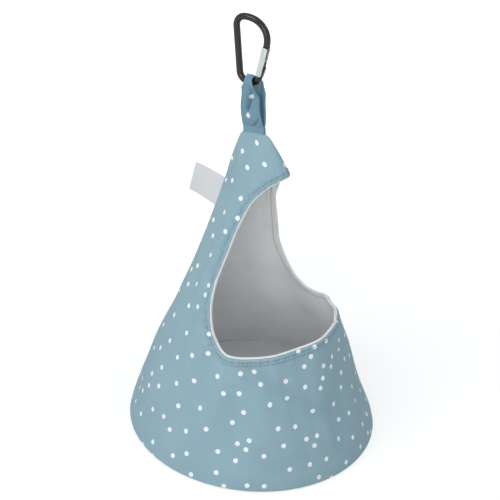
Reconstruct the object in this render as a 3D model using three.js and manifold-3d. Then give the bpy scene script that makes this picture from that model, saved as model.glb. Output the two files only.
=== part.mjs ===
// A cone-shaped hanging bag for pegs and other small things: a lined cloth body with a
// stiffened round base, an opening cut into its front under a pointed hood, a cloth loop
// sewn into its top seam, and a snap hook with a sprung gate to hang it by.
//
// Millimetres, +Z up. The origin is the centre of the base, on its underside. The opening
// faces -Y, the middle of the bag is the plane X = 0, and the label sits in the back seam.
import * as THREE from 'three';
import { mergeVertices } from 'three/addons/utils/BufferGeometryUtils.js';
import Module from 'manifold-3d';

// Sizes shared by many pieces.
const GAP = 0.3; // between neighbouring pieces
const OVERRUN = 6; // how far a cutting block runs past what it cuts

// The bag's outer form.
const BODY = {
  baseRadius: 100,
  height: 249, // floor to the middle of the top seam
  topHalfWidth: 11, // half of the sewn top edge, front to back
  topHalfThickness: 2.4, // half of the top edge, side to side
  topSetback: 18, // how far the top seam lies behind the base centre
  shoulderRadius: 4, // rounding of the top edge's two ends
  seamTilt: THREE.MathUtils.degToRad(9), // the top seam falls away to the back
  tipDrop: 26, // the hood's point, under the top seam
  tipReach: 15, // the hood's point, in front of the base centre
  tuckRadius: 2, // rounding where the wall turns under to the base
};

// Cloth and board.
const CLOTH = {
  outer: 1, // wall of the dotted outer cloth
  lining: 0.8, // wall of the pale lining
  board: 2, // stiffener inside the base
  liningDrop: 8, // the lining closes this far under the top seam
};

// The opening, as its edge is seen from the side.
const OPENING = {
  waistReach: 15.2, // its rearmost point, behind the base centre
  waistHeight: 143,
  dipReach: 12, // its lowest point, in front of the base centre
  dipHeight: 94,
  rimHeight: 104, // the middle of the front rim
  lip: 1, // how far the lining shows past the outer cloth
};

// Bends of the opening's edge, as [across, down] shares of each stretch.
const HOOD_EDGE_SHARES = [[0.9, 0.22], [0.86, 0.51]];
const WAIST_SHARES = [[0, 0.51], [0.45, 1]];
const RIM_SHARES = [[0.21, 0], [0.69, 0.66]];

// The hanging loop, a flat cloth strap folded over the hook's lower bend.
const STRAP = {
  width: 18, // at the top seam
  shoulderWidth: 14.5, // just under the fold
  foldWidth: 8.4, // gathered inside the hook's bend
  rise: 38.7, // top seam to the middle of the hook's rod
  thickness: 1.5,
  bulge: 5, // half of the spread between the two layers
  rollRadius: 1.8, // the turned-in lower end
  foldRadius: 4.9, // outside of the fold over the rod
  shoulderDrop: 4.9, // from the rod's middle down to the shoulders
  offset: 0.8, // the hook sits this far behind the strap's middle
};

// Bends of the strap's side, as shares of its bulge and of its rise.
const STRAP_LOW_SHARE = 0.25;
const STRAP_HIGH_SHARE = 0.75;
const STRAP_SPREAD_SHARE = 1.12;

// The snap hook, a D of round rod.
const HOOK = {
  rodRadius: 2.55,
  height: 48.5, // middle of the lower bend to middle of the upper one
  bottomHalf: 1.5, // half of the straight stretch at the bottom
  bendRadius: 7, // the two lower bends
  cornerRadius: 7.5, // the bend from the top to the spine
  noseBulge: 1, // how far the bow stands out past the nose
  noseRise: 6, // nose end to the foot of the bow
};

// Bends of the bow, as [across, up] shares of its spread.
const BOW_SHARES = [[0, 0.6], [0.45, 1.03]];

// The gate, a channel of folded sheet that is open to the outside.
const GATE = {
  length: 21.5, // pivot to its top end
  depth: 4.3,
  wall: 0.6,
  lean: THREE.MathUtils.degToRad(18.5), // outwards from the spine
  knuckleGap: 0.55, // round foot to the cut end of the rod
  webStart: 1, // the web starts this far above the pivot
  tabHeight: 10.4, // the folded tab that the spring pushes on
};

// The flat ends of the rod that the gate straddles.
const TANG = {
  thickness: 3,
  innerReach: 1.2, // towards the spine
  outerReach: 3.3, // towards the outside, past the gate
  rise: 3.2, // above the pivot, inside the gate
  outerRise: 6, // above the pivot, at the outside edge
  noseDrop: 4.5, // how far the nose's tongue reaches into the gate
  root: 2, // how far each flat end runs into the rod
};

const RIVET = {
  shaftRadius: 0.8,
  headRadius: 1.3,
  headHeight: 0.6,
};

const SPRING = {
  coilRadius: 1.05,
  wireRadius: 0.2,
  turns: 6,
  stepsPerTurn: 8,
  wireHalfSides: 3,
};

const LABEL = {
  width: 25, // standing out from the seam
  height: 27, // along the seam
  thickness: 1,
  drop: 33, // its middle, under the hood's point
};

// Counts of facets.
const COLUMNS = 48;
const WALL_ROWS = 6;
const HOOD_ROWS = 4;
const ROUND_ROWS = 3;
const EDGE_STEPS = 14;
const ROD_HALF_SIDES = 6;
const ROD_STEPS = 64;
const FINE_SIDES = 16;

const MERGE_TOLERANCE = 1e-4;

const wasm = await Module();
wasm.setup();

// Closed mesh to solid, and back.
function toSolid(geometry) {
  const bare = geometry.clone();
  bare.deleteAttribute('normal');
  bare.deleteAttribute('uv');
  const merged = mergeVertices(bare, MERGE_TOLERANCE);
  return new wasm.Manifold(new wasm.Mesh({
    numProp: 3,
    vertProperties: new Float32Array(merged.attributes.position.array),
    triVerts: new Uint32Array(merged.index.array),
  }));
}

function toGeometry(solid) {
  const mesh = solid.getMesh();
  const geometry = new THREE.BufferGeometry();
  geometry.setAttribute('position', new THREE.BufferAttribute(mesh.vertProperties, 3));
  geometry.setIndex(new THREE.BufferAttribute(mesh.triVerts, 1));
  geometry.computeVertexNormals();
  return geometry;
}

// A box between two corners.
function boxSolid(low, high) {
  const size = high.clone().sub(low);
  const box = new THREE.BoxGeometry(size.x, size.y, size.z);
  box.translate(...low.clone().add(high).multiplyScalar(0.5).toArray());
  return toSolid(box);
}

// An outline drawn in Y and Z, given its thickness along X, centred on X = 0.
function acrossX(outline, thickness) {
  const geometry = new THREE.ExtrudeGeometry(outline, {
    depth: thickness,
    bevelEnabled: false,
    curveSegments: EDGE_STEPS,
  });
  geometry.translate(0, 0, -thickness / 2);
  const turn = new THREE.Matrix4().makeBasis(
    new THREE.Vector3(0, 1, 0),
    new THREE.Vector3(0, 0, 1),
    new THREE.Vector3(1, 0, 0),
  );
  return geometry.applyMatrix4(turn);
}

// An outline drawn in X and Z, given its length along Y, centred on Y = 0.
function alongY(outline, length) {
  const geometry = new THREE.ExtrudeGeometry(outline, {
    depth: length,
    bevelEnabled: false,
    curveSegments: EDGE_STEPS,
  });
  geometry.translate(0, 0, -length / 2);
  return geometry.rotateX(Math.PI / 2);
}

// A rod along X.
function pinSolid(radius, length) {
  const pin = new THREE.CylinderGeometry(radius, radius, length, FINE_SIDES);
  return toSolid(pin.rotateZ(Math.PI / 2));
}

const mix = THREE.MathUtils.lerp;

// The bag's form. A level section is an oval between its front and its back. Below the
// hood's point the wall runs straight from the round base. Above it the front slopes back
// to the narrow top seam, and the level lines tilt with that seam.
const SLANT = Math.hypot(BODY.baseRadius, BODY.height) / BODY.height;
const tipHeight = BODY.height - BODY.tipDrop;
const topFront = BODY.topSetback - BODY.topHalfWidth;
const topBack = BODY.topSetback + BODY.topHalfWidth;

function frontAt(z) {
  if (z <= tipHeight) return mix(-BODY.baseRadius, -BODY.tipReach, z / tipHeight);
  const share = (z - tipHeight) / BODY.tipDrop;
  return mix(-BODY.tipReach, topFront, share);
}

function backAt(z) {
  return mix(BODY.baseRadius, topBack, z / BODY.height);
}

function halfAt(z) {
  return mix(BODY.baseRadius, BODY.topHalfThickness, z / BODY.height);
}

// How far a quarter round of this radius has drawn in, this far along it.
function roundIn(radius, along) {
  const share = THREE.MathUtils.clamp(along / radius, 0, 1);
  return radius * (1 - Math.sqrt(1 - share * share));
}

function bagPoint(angle, level, inset) {
  const z = Math.max(level, 0);
  const tuck = roundIn(BODY.tuckRadius, BODY.tuckRadius - z);
  const shoulder = roundIn(BODY.shoulderRadius, z - BODY.height + BODY.shoulderRadius);
  const draw = inset * SLANT + tuck;
  const halfWidth = (backAt(z) - frontAt(z)) / 2 - draw - shoulder;
  const x = (halfAt(z) - draw) * Math.sin(angle);
  const y = (backAt(z) + frontAt(z)) / 2 - halfWidth * Math.cos(angle);
  const lift = Math.max(z - tipHeight, 0) / BODY.tipDrop;
  const fall = Math.tan(BODY.seamTilt) * (y - BODY.topSetback) * lift;
  return new THREE.Vector3(x, y, level - fall);
}

// Every level at which the form needs a row of points, between two heights.
function levelsBetween(bottom, top) {
  const levels = [bottom, top];
  const add = (low, high, rows) => {
    for (let row = 0; row <= rows; row += 1) levels.push(mix(low, high, row / rows));
  };
  add(0, BODY.tuckRadius, ROUND_ROWS);
  add(BODY.tuckRadius, tipHeight, WALL_ROWS);
  add(tipHeight, BODY.height - BODY.shoulderRadius, HOOD_ROWS);
  add(BODY.height - BODY.shoulderRadius, BODY.height, ROUND_ROWS);
  const inside = levels.filter((level) => level >= bottom && level <= top);
  const ordered = [...new Set(inside)].sort((a, b) => a - b);
  return ordered.filter((level, index) => index === 0 || level - ordered[index - 1] > MERGE_TOLERANCE);
}

// A full block of the bag's form, drawn in by an inset, between two heights.
function bagBlock(inset, bottom, top) {
  const positions = [];
  const indices = [];
  const levels = levelsBetween(bottom, top);
  for (const level of levels) {
    for (let column = 0; column < COLUMNS; column += 1) {
      positions.push(...bagPoint((column / COLUMNS) * Math.PI * 2, level, inset).toArray());
    }
  }
  for (let row = 0; row + 1 < levels.length; row += 1) {
    for (let column = 0; column < COLUMNS; column += 1) {
      const next = (column + 1) % COLUMNS;
      const a = row * COLUMNS + column;
      const b = row * COLUMNS + next;
      const c = a + COLUMNS;
      const d = b + COLUMNS;
      indices.push(a, b, d, a, d, c);
    }
  }
  const closeEnd = (row, flip) => {
    const level = levels[row];
    const centre = positions.length / 3;
    const front = bagPoint(0, level, inset);
    const back = bagPoint(Math.PI, level, inset);
    positions.push(...front.add(back).multiplyScalar(0.5).toArray());
    for (let column = 0; column < COLUMNS; column += 1) {
      const a = row * COLUMNS + column;
      const b = row * COLUMNS + ((column + 1) % COLUMNS);
      indices.push(...(flip ? [centre, b, a] : [centre, a, b]));
    }
  };
  closeEnd(0, true);
  closeEnd(levels.length - 1, false);
  const geometry = new THREE.BufferGeometry();
  geometry.setAttribute('position', new THREE.Float32BufferAttribute(positions, 3));
  geometry.setIndex(indices);
  return toSolid(geometry);
}

// The opening's cutting block, grown past the lining's edge by a margin.
function openingBlock(margin) {
  const tip = new THREE.Vector2(-BODY.tipReach, tipHeight + margin);
  const waist = new THREE.Vector2(OPENING.waistReach + margin, OPENING.waistHeight);
  const dip = new THREE.Vector2(-OPENING.dipReach, OPENING.dipHeight - margin);
  const rim = new THREE.Vector2(frontAt(OPENING.rimHeight), OPENING.rimHeight - margin);
  const clear = -(BODY.baseRadius + OVERRUN);
  const rimSlope = (rim.y - dip.y) / (rim.x - dip.x);
  const outline = new THREE.Shape();
  const bendTo = (from, to, shares) => {
    const [first, second] = shares.map(([across, down]) => (
      new THREE.Vector2(mix(from.x, to.x, across), mix(from.y, to.y, down))
    ));
    outline.bezierCurveTo(first.x, first.y, second.x, second.y, to.x, to.y);
  };
  outline.moveTo(clear, tip.y);
  outline.lineTo(tip.x, tip.y);
  bendTo(tip, waist, HOOD_EDGE_SHARES);
  bendTo(waist, dip, WAIST_SHARES);
  bendTo(dip, rim, RIM_SHARES);
  outline.lineTo(clear, rim.y + rimSlope * (clear - rim.x));
  outline.closePath();
  return toSolid(acrossX(outline, (BODY.baseRadius + OVERRUN) * 2));
}

// The cloth body, its lining and the round base.
const liningInset = CLOTH.outer + GAP;
const boardBottom = CLOTH.outer + GAP;
const liningFloor = boardBottom + CLOTH.board + GAP;
const liningTop = BODY.height - CLOTH.liningDrop;

function makeOuterBody() {
  const hollow = bagBlock(CLOTH.outer, -OVERRUN, BODY.height - CLOTH.outer);
  const shell = bagBlock(0, 0, BODY.height).subtract(hollow);
  return toGeometry(shell.subtract(openingBlock(OPENING.lip)));
}

function makeLining() {
  const inner = liningInset + CLOTH.lining;
  const hollow = bagBlock(inner, liningFloor - OVERRUN, liningTop - CLOTH.lining);
  const shell = bagBlock(liningInset, liningFloor, liningTop).subtract(hollow);
  return toGeometry(shell.subtract(openingBlock(0)));
}

function makeBaseDisc(inset, bottom, thickness) {
  return toGeometry(bagBlock(inset, bottom, bottom + thickness));
}

// The label, drawn in the plane X = 0 with Y standing out from the seam.
function makeLabel() {
  const label = new THREE.BoxGeometry(LABEL.thickness, LABEL.width, LABEL.height);
  return label.translate(0, LABEL.width / 2, 0);
}

// The strap, with the middle of the top seam at its origin. Its foot stays as thin as its
// roll until it is past the top edge, so that it can fold over to either side.
const rollHeight = STRAP.rollRadius + GAP;
const holeRadius = HOOK.rodRadius + GAP;

function strapOutline() {
  const low = mix(rollHeight, STRAP.rise, STRAP_LOW_SHARE);
  const high = mix(rollHeight, STRAP.rise, STRAP_HIGH_SHARE);
  const spread = STRAP.bulge * STRAP_SPREAD_SHARE;
  const neck = rollHeight + BODY.topHalfThickness + GAP;
  const outline = new THREE.Shape();
  outline.absarc(0, rollHeight, STRAP.rollRadius, -Math.PI, 0, false);
  outline.lineTo(STRAP.rollRadius, neck);
  outline.bezierCurveTo(spread, low, spread, high, STRAP.foldRadius, STRAP.rise);
  outline.absarc(0, STRAP.rise, STRAP.foldRadius, 0, Math.PI, false);
  outline.bezierCurveTo(-spread, high, -spread, low, -STRAP.rollRadius, neck);
  outline.closePath();

  const foot = rollHeight + STRAP.rollRadius + STRAP.thickness;
  const inside = spread - STRAP.thickness;
  const hole = new THREE.Path();
  hole.moveTo(0, foot);
  hole.bezierCurveTo(inside, low, inside, high, holeRadius, STRAP.rise);
  hole.absarc(0, STRAP.rise, holeRadius, 0, Math.PI, false);
  hole.bezierCurveTo(-inside, high, -inside, low, 0, foot);
  outline.holes.push(hole);
  return outline;
}

// The strap's outline from the side: wide at the seam, gathered at the fold.
function strapWidthBlock() {
  const shoulder = STRAP.rise - STRAP.shoulderDrop;
  const top = STRAP.rise + STRAP.foldRadius + OVERRUN;
  const foldHalf = STRAP.foldWidth / 2;
  const shoulderHalf = STRAP.shoulderWidth / 2;
  const outline = new THREE.Shape();
  outline.moveTo(-STRAP.width / 2, 0);
  outline.lineTo(STRAP.width / 2, 0);
  outline.lineTo(shoulderHalf, shoulder);
  outline.quadraticCurveTo(STRAP.offset + foldHalf, shoulder, STRAP.offset + foldHalf, STRAP.rise);
  outline.lineTo(STRAP.offset + foldHalf, top);
  outline.lineTo(STRAP.offset - foldHalf, top);
  outline.lineTo(STRAP.offset - foldHalf, STRAP.rise);
  outline.quadraticCurveTo(STRAP.offset - foldHalf, shoulder, -shoulderHalf, shoulder);
  outline.closePath();
  return toSolid(acrossX(outline, (STRAP.bulge + OVERRUN) * 2));
}

// The room that the hook's lower bend sweeps as the hook swings in the fold.
function bendSweep() {
  const clearBend = HOOK.bendRadius - holeRadius;
  const reach = STRAP.foldWidth / 2 + GAP;
  const profile = [new THREE.Vector2(0, -reach)];
  for (let step = 0; step <= EDGE_STEPS; step += 1) {
    const along = mix(-reach, reach, step / EDGE_STEPS);
    const past = Math.min(Math.max(Math.abs(along) - HOOK.bottomHalf, 0), clearBend);
    const drop = Math.sqrt(clearBend * clearBend - past * past);
    profile.push(new THREE.Vector2(HOOK.bendRadius - drop, along));
  }
  profile.push(new THREE.Vector2(0, reach));
  const sweep = new THREE.LatheGeometry(profile, FINE_SIDES * 2);
  return toSolid(sweep.translate(0, STRAP.offset, STRAP.rise));
}

function makeStrap() {
  const band = toSolid(alongY(strapOutline(), STRAP.width + OVERRUN));
  return toGeometry(band.intersect(strapWidthBlock()).subtract(bendSweep()));
}

// The hook, with the middle of its lower bend at its origin and its spine towards +Y.
const gateLine = new THREE.Vector2(-Math.sin(GATE.lean), Math.cos(GATE.lean));
const turn = Math.PI / 2 - GATE.lean;
const bendEnd = new THREE.Vector2(
  -HOOK.bottomHalf - HOOK.bendRadius * Math.sin(turn),
  HOOK.bendRadius * (1 - Math.cos(turn)),
);
const footReach = GATE.depth / 2 + GATE.knuckleGap;
const pivot = bendEnd.clone().addScaledVector(gateLine, footReach);
const noseEnd = pivot.clone().addScaledVector(gateLine, GATE.length + GAP);

// A shape drawn in the gate's own frame, moved into the hook's.
function fromGateFrame(solid) {
  const matrix = new THREE.Matrix4().makeRotationX(GATE.lean).setPosition(0, pivot.x, pivot.y);
  return solid.transform(matrix.toArray());
}

function hookPath() {
  const bowFoot = new THREE.Vector2(noseEnd.x - HOOK.noseBulge, noseEnd.y + HOOK.noseRise);
  const lead = noseEnd.clone().addScaledVector(gateLine, HOOK.noseRise / 2);
  const spine = HOOK.bottomHalf + HOOK.bendRadius;
  const bowTop = new THREE.Vector2(spine - HOOK.cornerRadius, HOOK.height);
  const [rise, crown] = BOW_SHARES.map(([across, up]) => (
    new THREE.Vector2(mix(bowFoot.x, bowTop.x, across), mix(bowFoot.y, bowTop.y, up))
  ));
  const path = new THREE.Path();
  path.moveTo(noseEnd.x, noseEnd.y);
  path.quadraticCurveTo(lead.x, lead.y, bowFoot.x, bowFoot.y);
  path.bezierCurveTo(rise.x, rise.y, crown.x, crown.y, bowTop.x, bowTop.y);
  path.absarc(bowTop.x, HOOK.height - HOOK.cornerRadius, HOOK.cornerRadius, Math.PI / 2, 0, true);
  path.lineTo(spine, HOOK.bendRadius);
  path.absarc(HOOK.bottomHalf, HOOK.bendRadius, HOOK.bendRadius, 0, -Math.PI / 2, true);
  path.lineTo(-HOOK.bottomHalf, 0);
  path.absarc(-HOOK.bottomHalf, HOOK.bendRadius, HOOK.bendRadius, -Math.PI / 2, -Math.PI / 2 - turn, true);
  return path;
}

function makeHook() {
  const points = hookPath().getSpacedPoints(ROD_STEPS).map((point) => (
    new THREE.Vector3(0, point.x, point.y)
  ));
  const section = new THREE.Shape();
  section.absarc(0, 0, HOOK.rodRadius, 0, Math.PI * 2, false);
  const rod = toSolid(new THREE.ExtrudeGeometry(section, {
    steps: ROD_STEPS,
    curveSegments: ROD_HALF_SIDES,
    extrudePath: new THREE.CatmullRomCurve3(points),
  }));

  const half = TANG.thickness / 2;
  const tang = new THREE.Shape();
  tang.moveTo(TANG.innerReach, -footReach - TANG.root);
  tang.lineTo(TANG.innerReach, 0);
  tang.absarc(0, 0, TANG.innerReach, 0, Math.PI / 2, false);
  tang.lineTo(-RIVET.headRadius, TANG.rise);
  tang.lineTo(-GATE.depth / 2, TANG.outerRise);
  tang.lineTo(-TANG.outerReach, TANG.outerRise);
  tang.lineTo(-HOOK.rodRadius, -footReach);
  tang.lineTo(-TANG.innerReach, -footReach - TANG.root);
  tang.closePath();

  const noseFace = GATE.length + GAP;
  const tongue = boxSolid(
    new THREE.Vector3(-half, -GATE.depth / 2, GATE.length - TANG.noseDrop),
    new THREE.Vector3(half, TANG.innerReach, noseFace + TANG.root),
  );
  const rivetHole = pinSolid(RIVET.shaftRadius + GAP, TANG.thickness + OVERRUN);
  const flats = toSolid(acrossX(tang, TANG.thickness)).subtract(rivetHole).add(tongue);
  return toGeometry(rod.add(fromGateFrame(flats)));
}

// The gate, with its pivot at its origin and its length along +Z.
function makeGate() {
  const half = GATE.depth / 2;
  const innerHalf = HOOK.rodRadius - GATE.wall;
  const side = new THREE.Shape();
  side.absarc(0, 0, half, -Math.PI, 0, false);
  side.lineTo(half, GATE.length);
  side.lineTo(-half, GATE.length);
  side.closePath();
  const channel = boxSolid(
    new THREE.Vector3(-innerHalf, -half - OVERRUN, -half - OVERRUN),
    new THREE.Vector3(innerHalf, half - GATE.wall, GATE.length + OVERRUN),
  );
  const footNotch = boxSolid(
    new THREE.Vector3(-innerHalf, -half - OVERRUN, -half - OVERRUN),
    new THREE.Vector3(innerHalf, half + OVERRUN, GATE.webStart),
  );
  const tab = boxSolid(
    new THREE.Vector3(-innerHalf - GATE.wall / 2, -half + GATE.wall, GATE.tabHeight),
    new THREE.Vector3(innerHalf + GATE.wall / 2, half - GATE.wall / 2, GATE.tabHeight + GATE.wall),
  );
  const rivetHole = pinSolid(RIVET.shaftRadius + GAP, HOOK.rodRadius * 2 + OVERRUN);
  const folded = toSolid(acrossX(side, HOOK.rodRadius * 2)).subtract(channel).subtract(footNotch);
  return toGeometry(folded.add(tab).subtract(rivetHole));
}

// The rivet through the gate's two cheeks and the rod's tang, along X.
function makeRivet() {
  const seat = HOOK.rodRadius + GAP;
  const end = seat + RIVET.headHeight;
  const profile = [
    new THREE.Vector2(0, -end),
    new THREE.Vector2(RIVET.headRadius, -end),
    new THREE.Vector2(RIVET.headRadius, -seat),
    new THREE.Vector2(RIVET.shaftRadius, -seat),
    new THREE.Vector2(RIVET.shaftRadius, seat),
    new THREE.Vector2(RIVET.headRadius, seat),
    new THREE.Vector2(RIVET.headRadius, end),
    new THREE.Vector2(0, end),
  ];
  return new THREE.LatheGeometry(profile, FINE_SIDES).rotateZ(-Math.PI / 2);
}

// The coil spring between the rod's tang and the gate's tab.
function makeSpring() {
  const bottom = TANG.rise + GAP + SPRING.wireRadius;
  const top = GATE.tabHeight - GAP - SPRING.wireRadius;
  const steps = SPRING.turns * SPRING.stepsPerTurn;
  const points = [];
  for (let step = 0; step <= steps; step += 1) {
    const angle = (step / SPRING.stepsPerTurn) * Math.PI * 2;
    points.push(new THREE.Vector3(
      SPRING.coilRadius * Math.cos(angle),
      SPRING.coilRadius * Math.sin(angle),
      mix(bottom, top, step / steps),
    ));
  }
  const section = new THREE.Shape();
  section.absarc(0, 0, SPRING.wireRadius, 0, Math.PI * 2, false);
  return new THREE.ExtrudeGeometry(section, {
    steps,
    curveSegments: SPRING.wireHalfSides,
    extrudePath: new THREE.CatmullRomCurve3(points),
  });
}

// Finishes.
const FINISH = {
  dottedCloth: new THREE.MeshStandardMaterial({ color: 0x86a6b3, roughness: 0.7, metalness: 0 }),
  paleCloth: new THREE.MeshStandardMaterial({ color: 0xe4e4e6, roughness: 0.85, metalness: 0 }),
  board: new THREE.MeshStandardMaterial({ color: 0xcfccc4, roughness: 0.6, metalness: 0 }),
  ribbon: new THREE.MeshStandardMaterial({ color: 0xeeeeec, roughness: 0.8, metalness: 0 }),
  blackMetal: new THREE.MeshStandardMaterial({ color: 0x1c1d1f, roughness: 0.3, metalness: 0.6 }),
  silverMetal: new THREE.MeshStandardMaterial({ color: 0xc9cfce, roughness: 0.3, metalness: 1 }),
};

function named(name, geometry, material) {
  const mesh = new THREE.Mesh(geometry, material);
  mesh.name = name;
  return mesh;
}

// The assembly.
const bag = new THREE.Group();
bag.add(named('outer_body', makeOuterBody(), FINISH.dottedCloth));
bag.add(named('body_lining', makeLining(), FINISH.paleCloth));
bag.add(named('outer_base', makeBaseDisc(liningInset, 0, CLOTH.outer), FINISH.dottedCloth));
bag.add(named('base_stiffener', makeBaseDisc(liningInset, boardBottom, CLOTH.board), FINISH.board));
const floorInset = liningInset + CLOTH.lining + GAP;
bag.add(named('base_lining', makeBaseDisc(floorInset, liningFloor, CLOTH.lining), FINISH.paleCloth));

const backSlope = Math.atan2(BODY.baseRadius - topBack, BODY.height);
const labelSeat = new THREE.Group();
const labelHeight = tipHeight - LABEL.drop;
labelSeat.position.set(
  0,
  backAt(labelHeight) + GAP * Math.cos(backSlope),
  labelHeight + GAP * Math.sin(backSlope),
);
labelSeat.rotation.x = backSlope;
labelSeat.add(named('side_label', makeLabel(), FINISH.ribbon));
bag.add(labelSeat);

const hanging = new THREE.Group();
hanging.name = 'hanging';
hanging.position.set(0, BODY.topSetback, BODY.height);
hanging.rotation.x = -BODY.seamTilt;
hanging.add(named('hanging_loop', makeStrap(), FINISH.dottedCloth));
bag.add(hanging);

const hook = new THREE.Group();
hook.name = 'hook';
hook.position.set(0, STRAP.offset, STRAP.rise);
hook.add(named('carabiner_frame', makeHook(), FINISH.blackMetal));
hanging.add(hook);

const gate = new THREE.Group();
gate.name = 'gate';
gate.position.set(0, pivot.x, pivot.y);
gate.rotation.x = GATE.lean;
gate.add(named('carabiner_gate', makeGate(), FINISH.silverMetal));
gate.add(named('gate_rivet', makeRivet(), FINISH.silverMetal));
gate.add(named('gate_spring', makeSpring(), FINISH.silverMetal));
hook.add(gate);

export default bag;
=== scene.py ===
"""A cone-shaped hanging peg bag in dotted cloth, dressed over its CAD frame.

The sizes in the classes are millimetres, as in the part's source. They become metres
where a mesh is placed. A turn is an angle round the bag from its front, in radians, and
a level is a height on the bag's own form before its top seam tilts.
"""

import logging
import math
from dataclasses import dataclass, field
from enum import Enum
from functools import partial
from typing import Any, Callable, Union

import bpy
import numpy as np
from mathutils import Matrix, Vector


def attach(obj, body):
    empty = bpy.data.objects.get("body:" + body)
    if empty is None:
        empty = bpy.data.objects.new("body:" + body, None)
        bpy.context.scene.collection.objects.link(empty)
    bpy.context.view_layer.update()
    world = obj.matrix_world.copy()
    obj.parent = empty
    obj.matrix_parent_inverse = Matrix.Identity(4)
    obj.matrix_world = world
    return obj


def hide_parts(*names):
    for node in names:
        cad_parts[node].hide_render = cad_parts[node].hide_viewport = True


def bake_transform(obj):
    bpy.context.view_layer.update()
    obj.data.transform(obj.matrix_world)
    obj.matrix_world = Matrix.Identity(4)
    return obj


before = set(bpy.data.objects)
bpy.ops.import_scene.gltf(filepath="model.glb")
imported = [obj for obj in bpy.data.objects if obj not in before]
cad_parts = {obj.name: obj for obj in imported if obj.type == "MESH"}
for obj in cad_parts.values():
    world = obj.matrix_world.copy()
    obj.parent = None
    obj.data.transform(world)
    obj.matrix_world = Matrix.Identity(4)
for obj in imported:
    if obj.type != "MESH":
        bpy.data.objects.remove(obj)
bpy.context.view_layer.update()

MM = 0.001
Array = np.ndarray
Piece = bpy.types.Object
Material = bpy.types.Material
Place = Callable[[Array, Array], Array]
Colour = tuple[float, float, float, float]
WHITE: Colour = (1.0, 1.0, 1.0, 1.0)
BLACK: Colour = (0.0, 0.0, 0.0, 1.0)
Term = Union["Shade", float]
log = logging.getLogger("peg_bag")


class Body(Enum):
    """The bodies of the frame that pieces ride on."""

    BAG = "bag"
    LOOP = "loop"
    HOOK = "carabiner"
    GATE = "gate"


class Slot(Enum):
    """The record's material slots."""

    DOTTED = "dotted_cloth"
    LINING = "lining_cloth"
    LABEL = "label_ribbon"
    BLACK = "black_metal"
    SILVER = "silver_metal"
    SPRING = "spring_steel"


class Side(Enum):
    """Where a sheet's thickness goes, as the Solidify modifier counts it."""

    INSIDE = -1.0
    BOTH = 0.0


# Sums on arrays.
def mix(low: Any, high: Any, share: Any) -> Any:
    """Returns the value a share of the way from low to high."""
    return low + (high - low) * share


def smooth(low: float, high: float, value: Any) -> Array:
    """Returns 0 to 1, eased, as a value goes from low to high."""
    share = np.clip((value - low) / (high - low), 0.0, 1.0)
    return share * share * (3.0 - 2.0 * share)


def hump(offset: Array) -> Array:
    """Returns a bell curve that is 1 at no offset."""
    return np.exp(-(offset**2))


def unit(vectors: Array) -> Array:
    """Returns the vectors at length one."""
    return vectors / np.maximum(np.linalg.norm(vectors, axis=-1, keepdims=True), 1e-12)


def headings(before: Array, line: Array, after: Array) -> Array:
    """Returns a line's directions, given the points that come before and after it."""
    ring = np.concatenate([before, line, after])
    return unit(ring[2:] - ring[:-2])


def run_of(line: Array) -> Array:
    """Returns the length run along a line, at each of its points."""
    return np.concatenate([[0.0], np.cumsum(np.linalg.norm(np.diff(line, axis=0), axis=1))])


def paced(line: Array, count: int) -> tuple[Array, Array]:
    """Puts points on a flat line at an even pace.

    Args:
        line: The line's points.
        count: How many points are wanted.

    Returns:
        The points, and the length run at each.
    """
    length = run_of(line)
    run = np.linspace(0, length[-1], count)
    return np.stack([np.interp(run, length, line[:, k]) for k in (0, 1)], axis=-1), run


def bezier(t: Array, a: Any, b: Any, c: Any, d: Any) -> Array:
    """Returns points on the curve from a to d, drawn towards b and c."""
    s = 1 - t
    return s**3 * a + 3 * s * s * t * b + 3 * s * t * t * c + t**3 * d


# Shader expressions and finishes.
def put(tree: bpy.types.NodeTree, socket: bpy.types.NodeSocket, value: Any) -> None:
    """Feeds an input of a node.

    Args:
        tree: The node tree.
        socket: The input.
        value: An expression that is linked to it, or a value that it is set to.
    """
    if isinstance(value, Shade):
        tree.links.new(value.link, socket)
    else:
        socket.default_value = value


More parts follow.
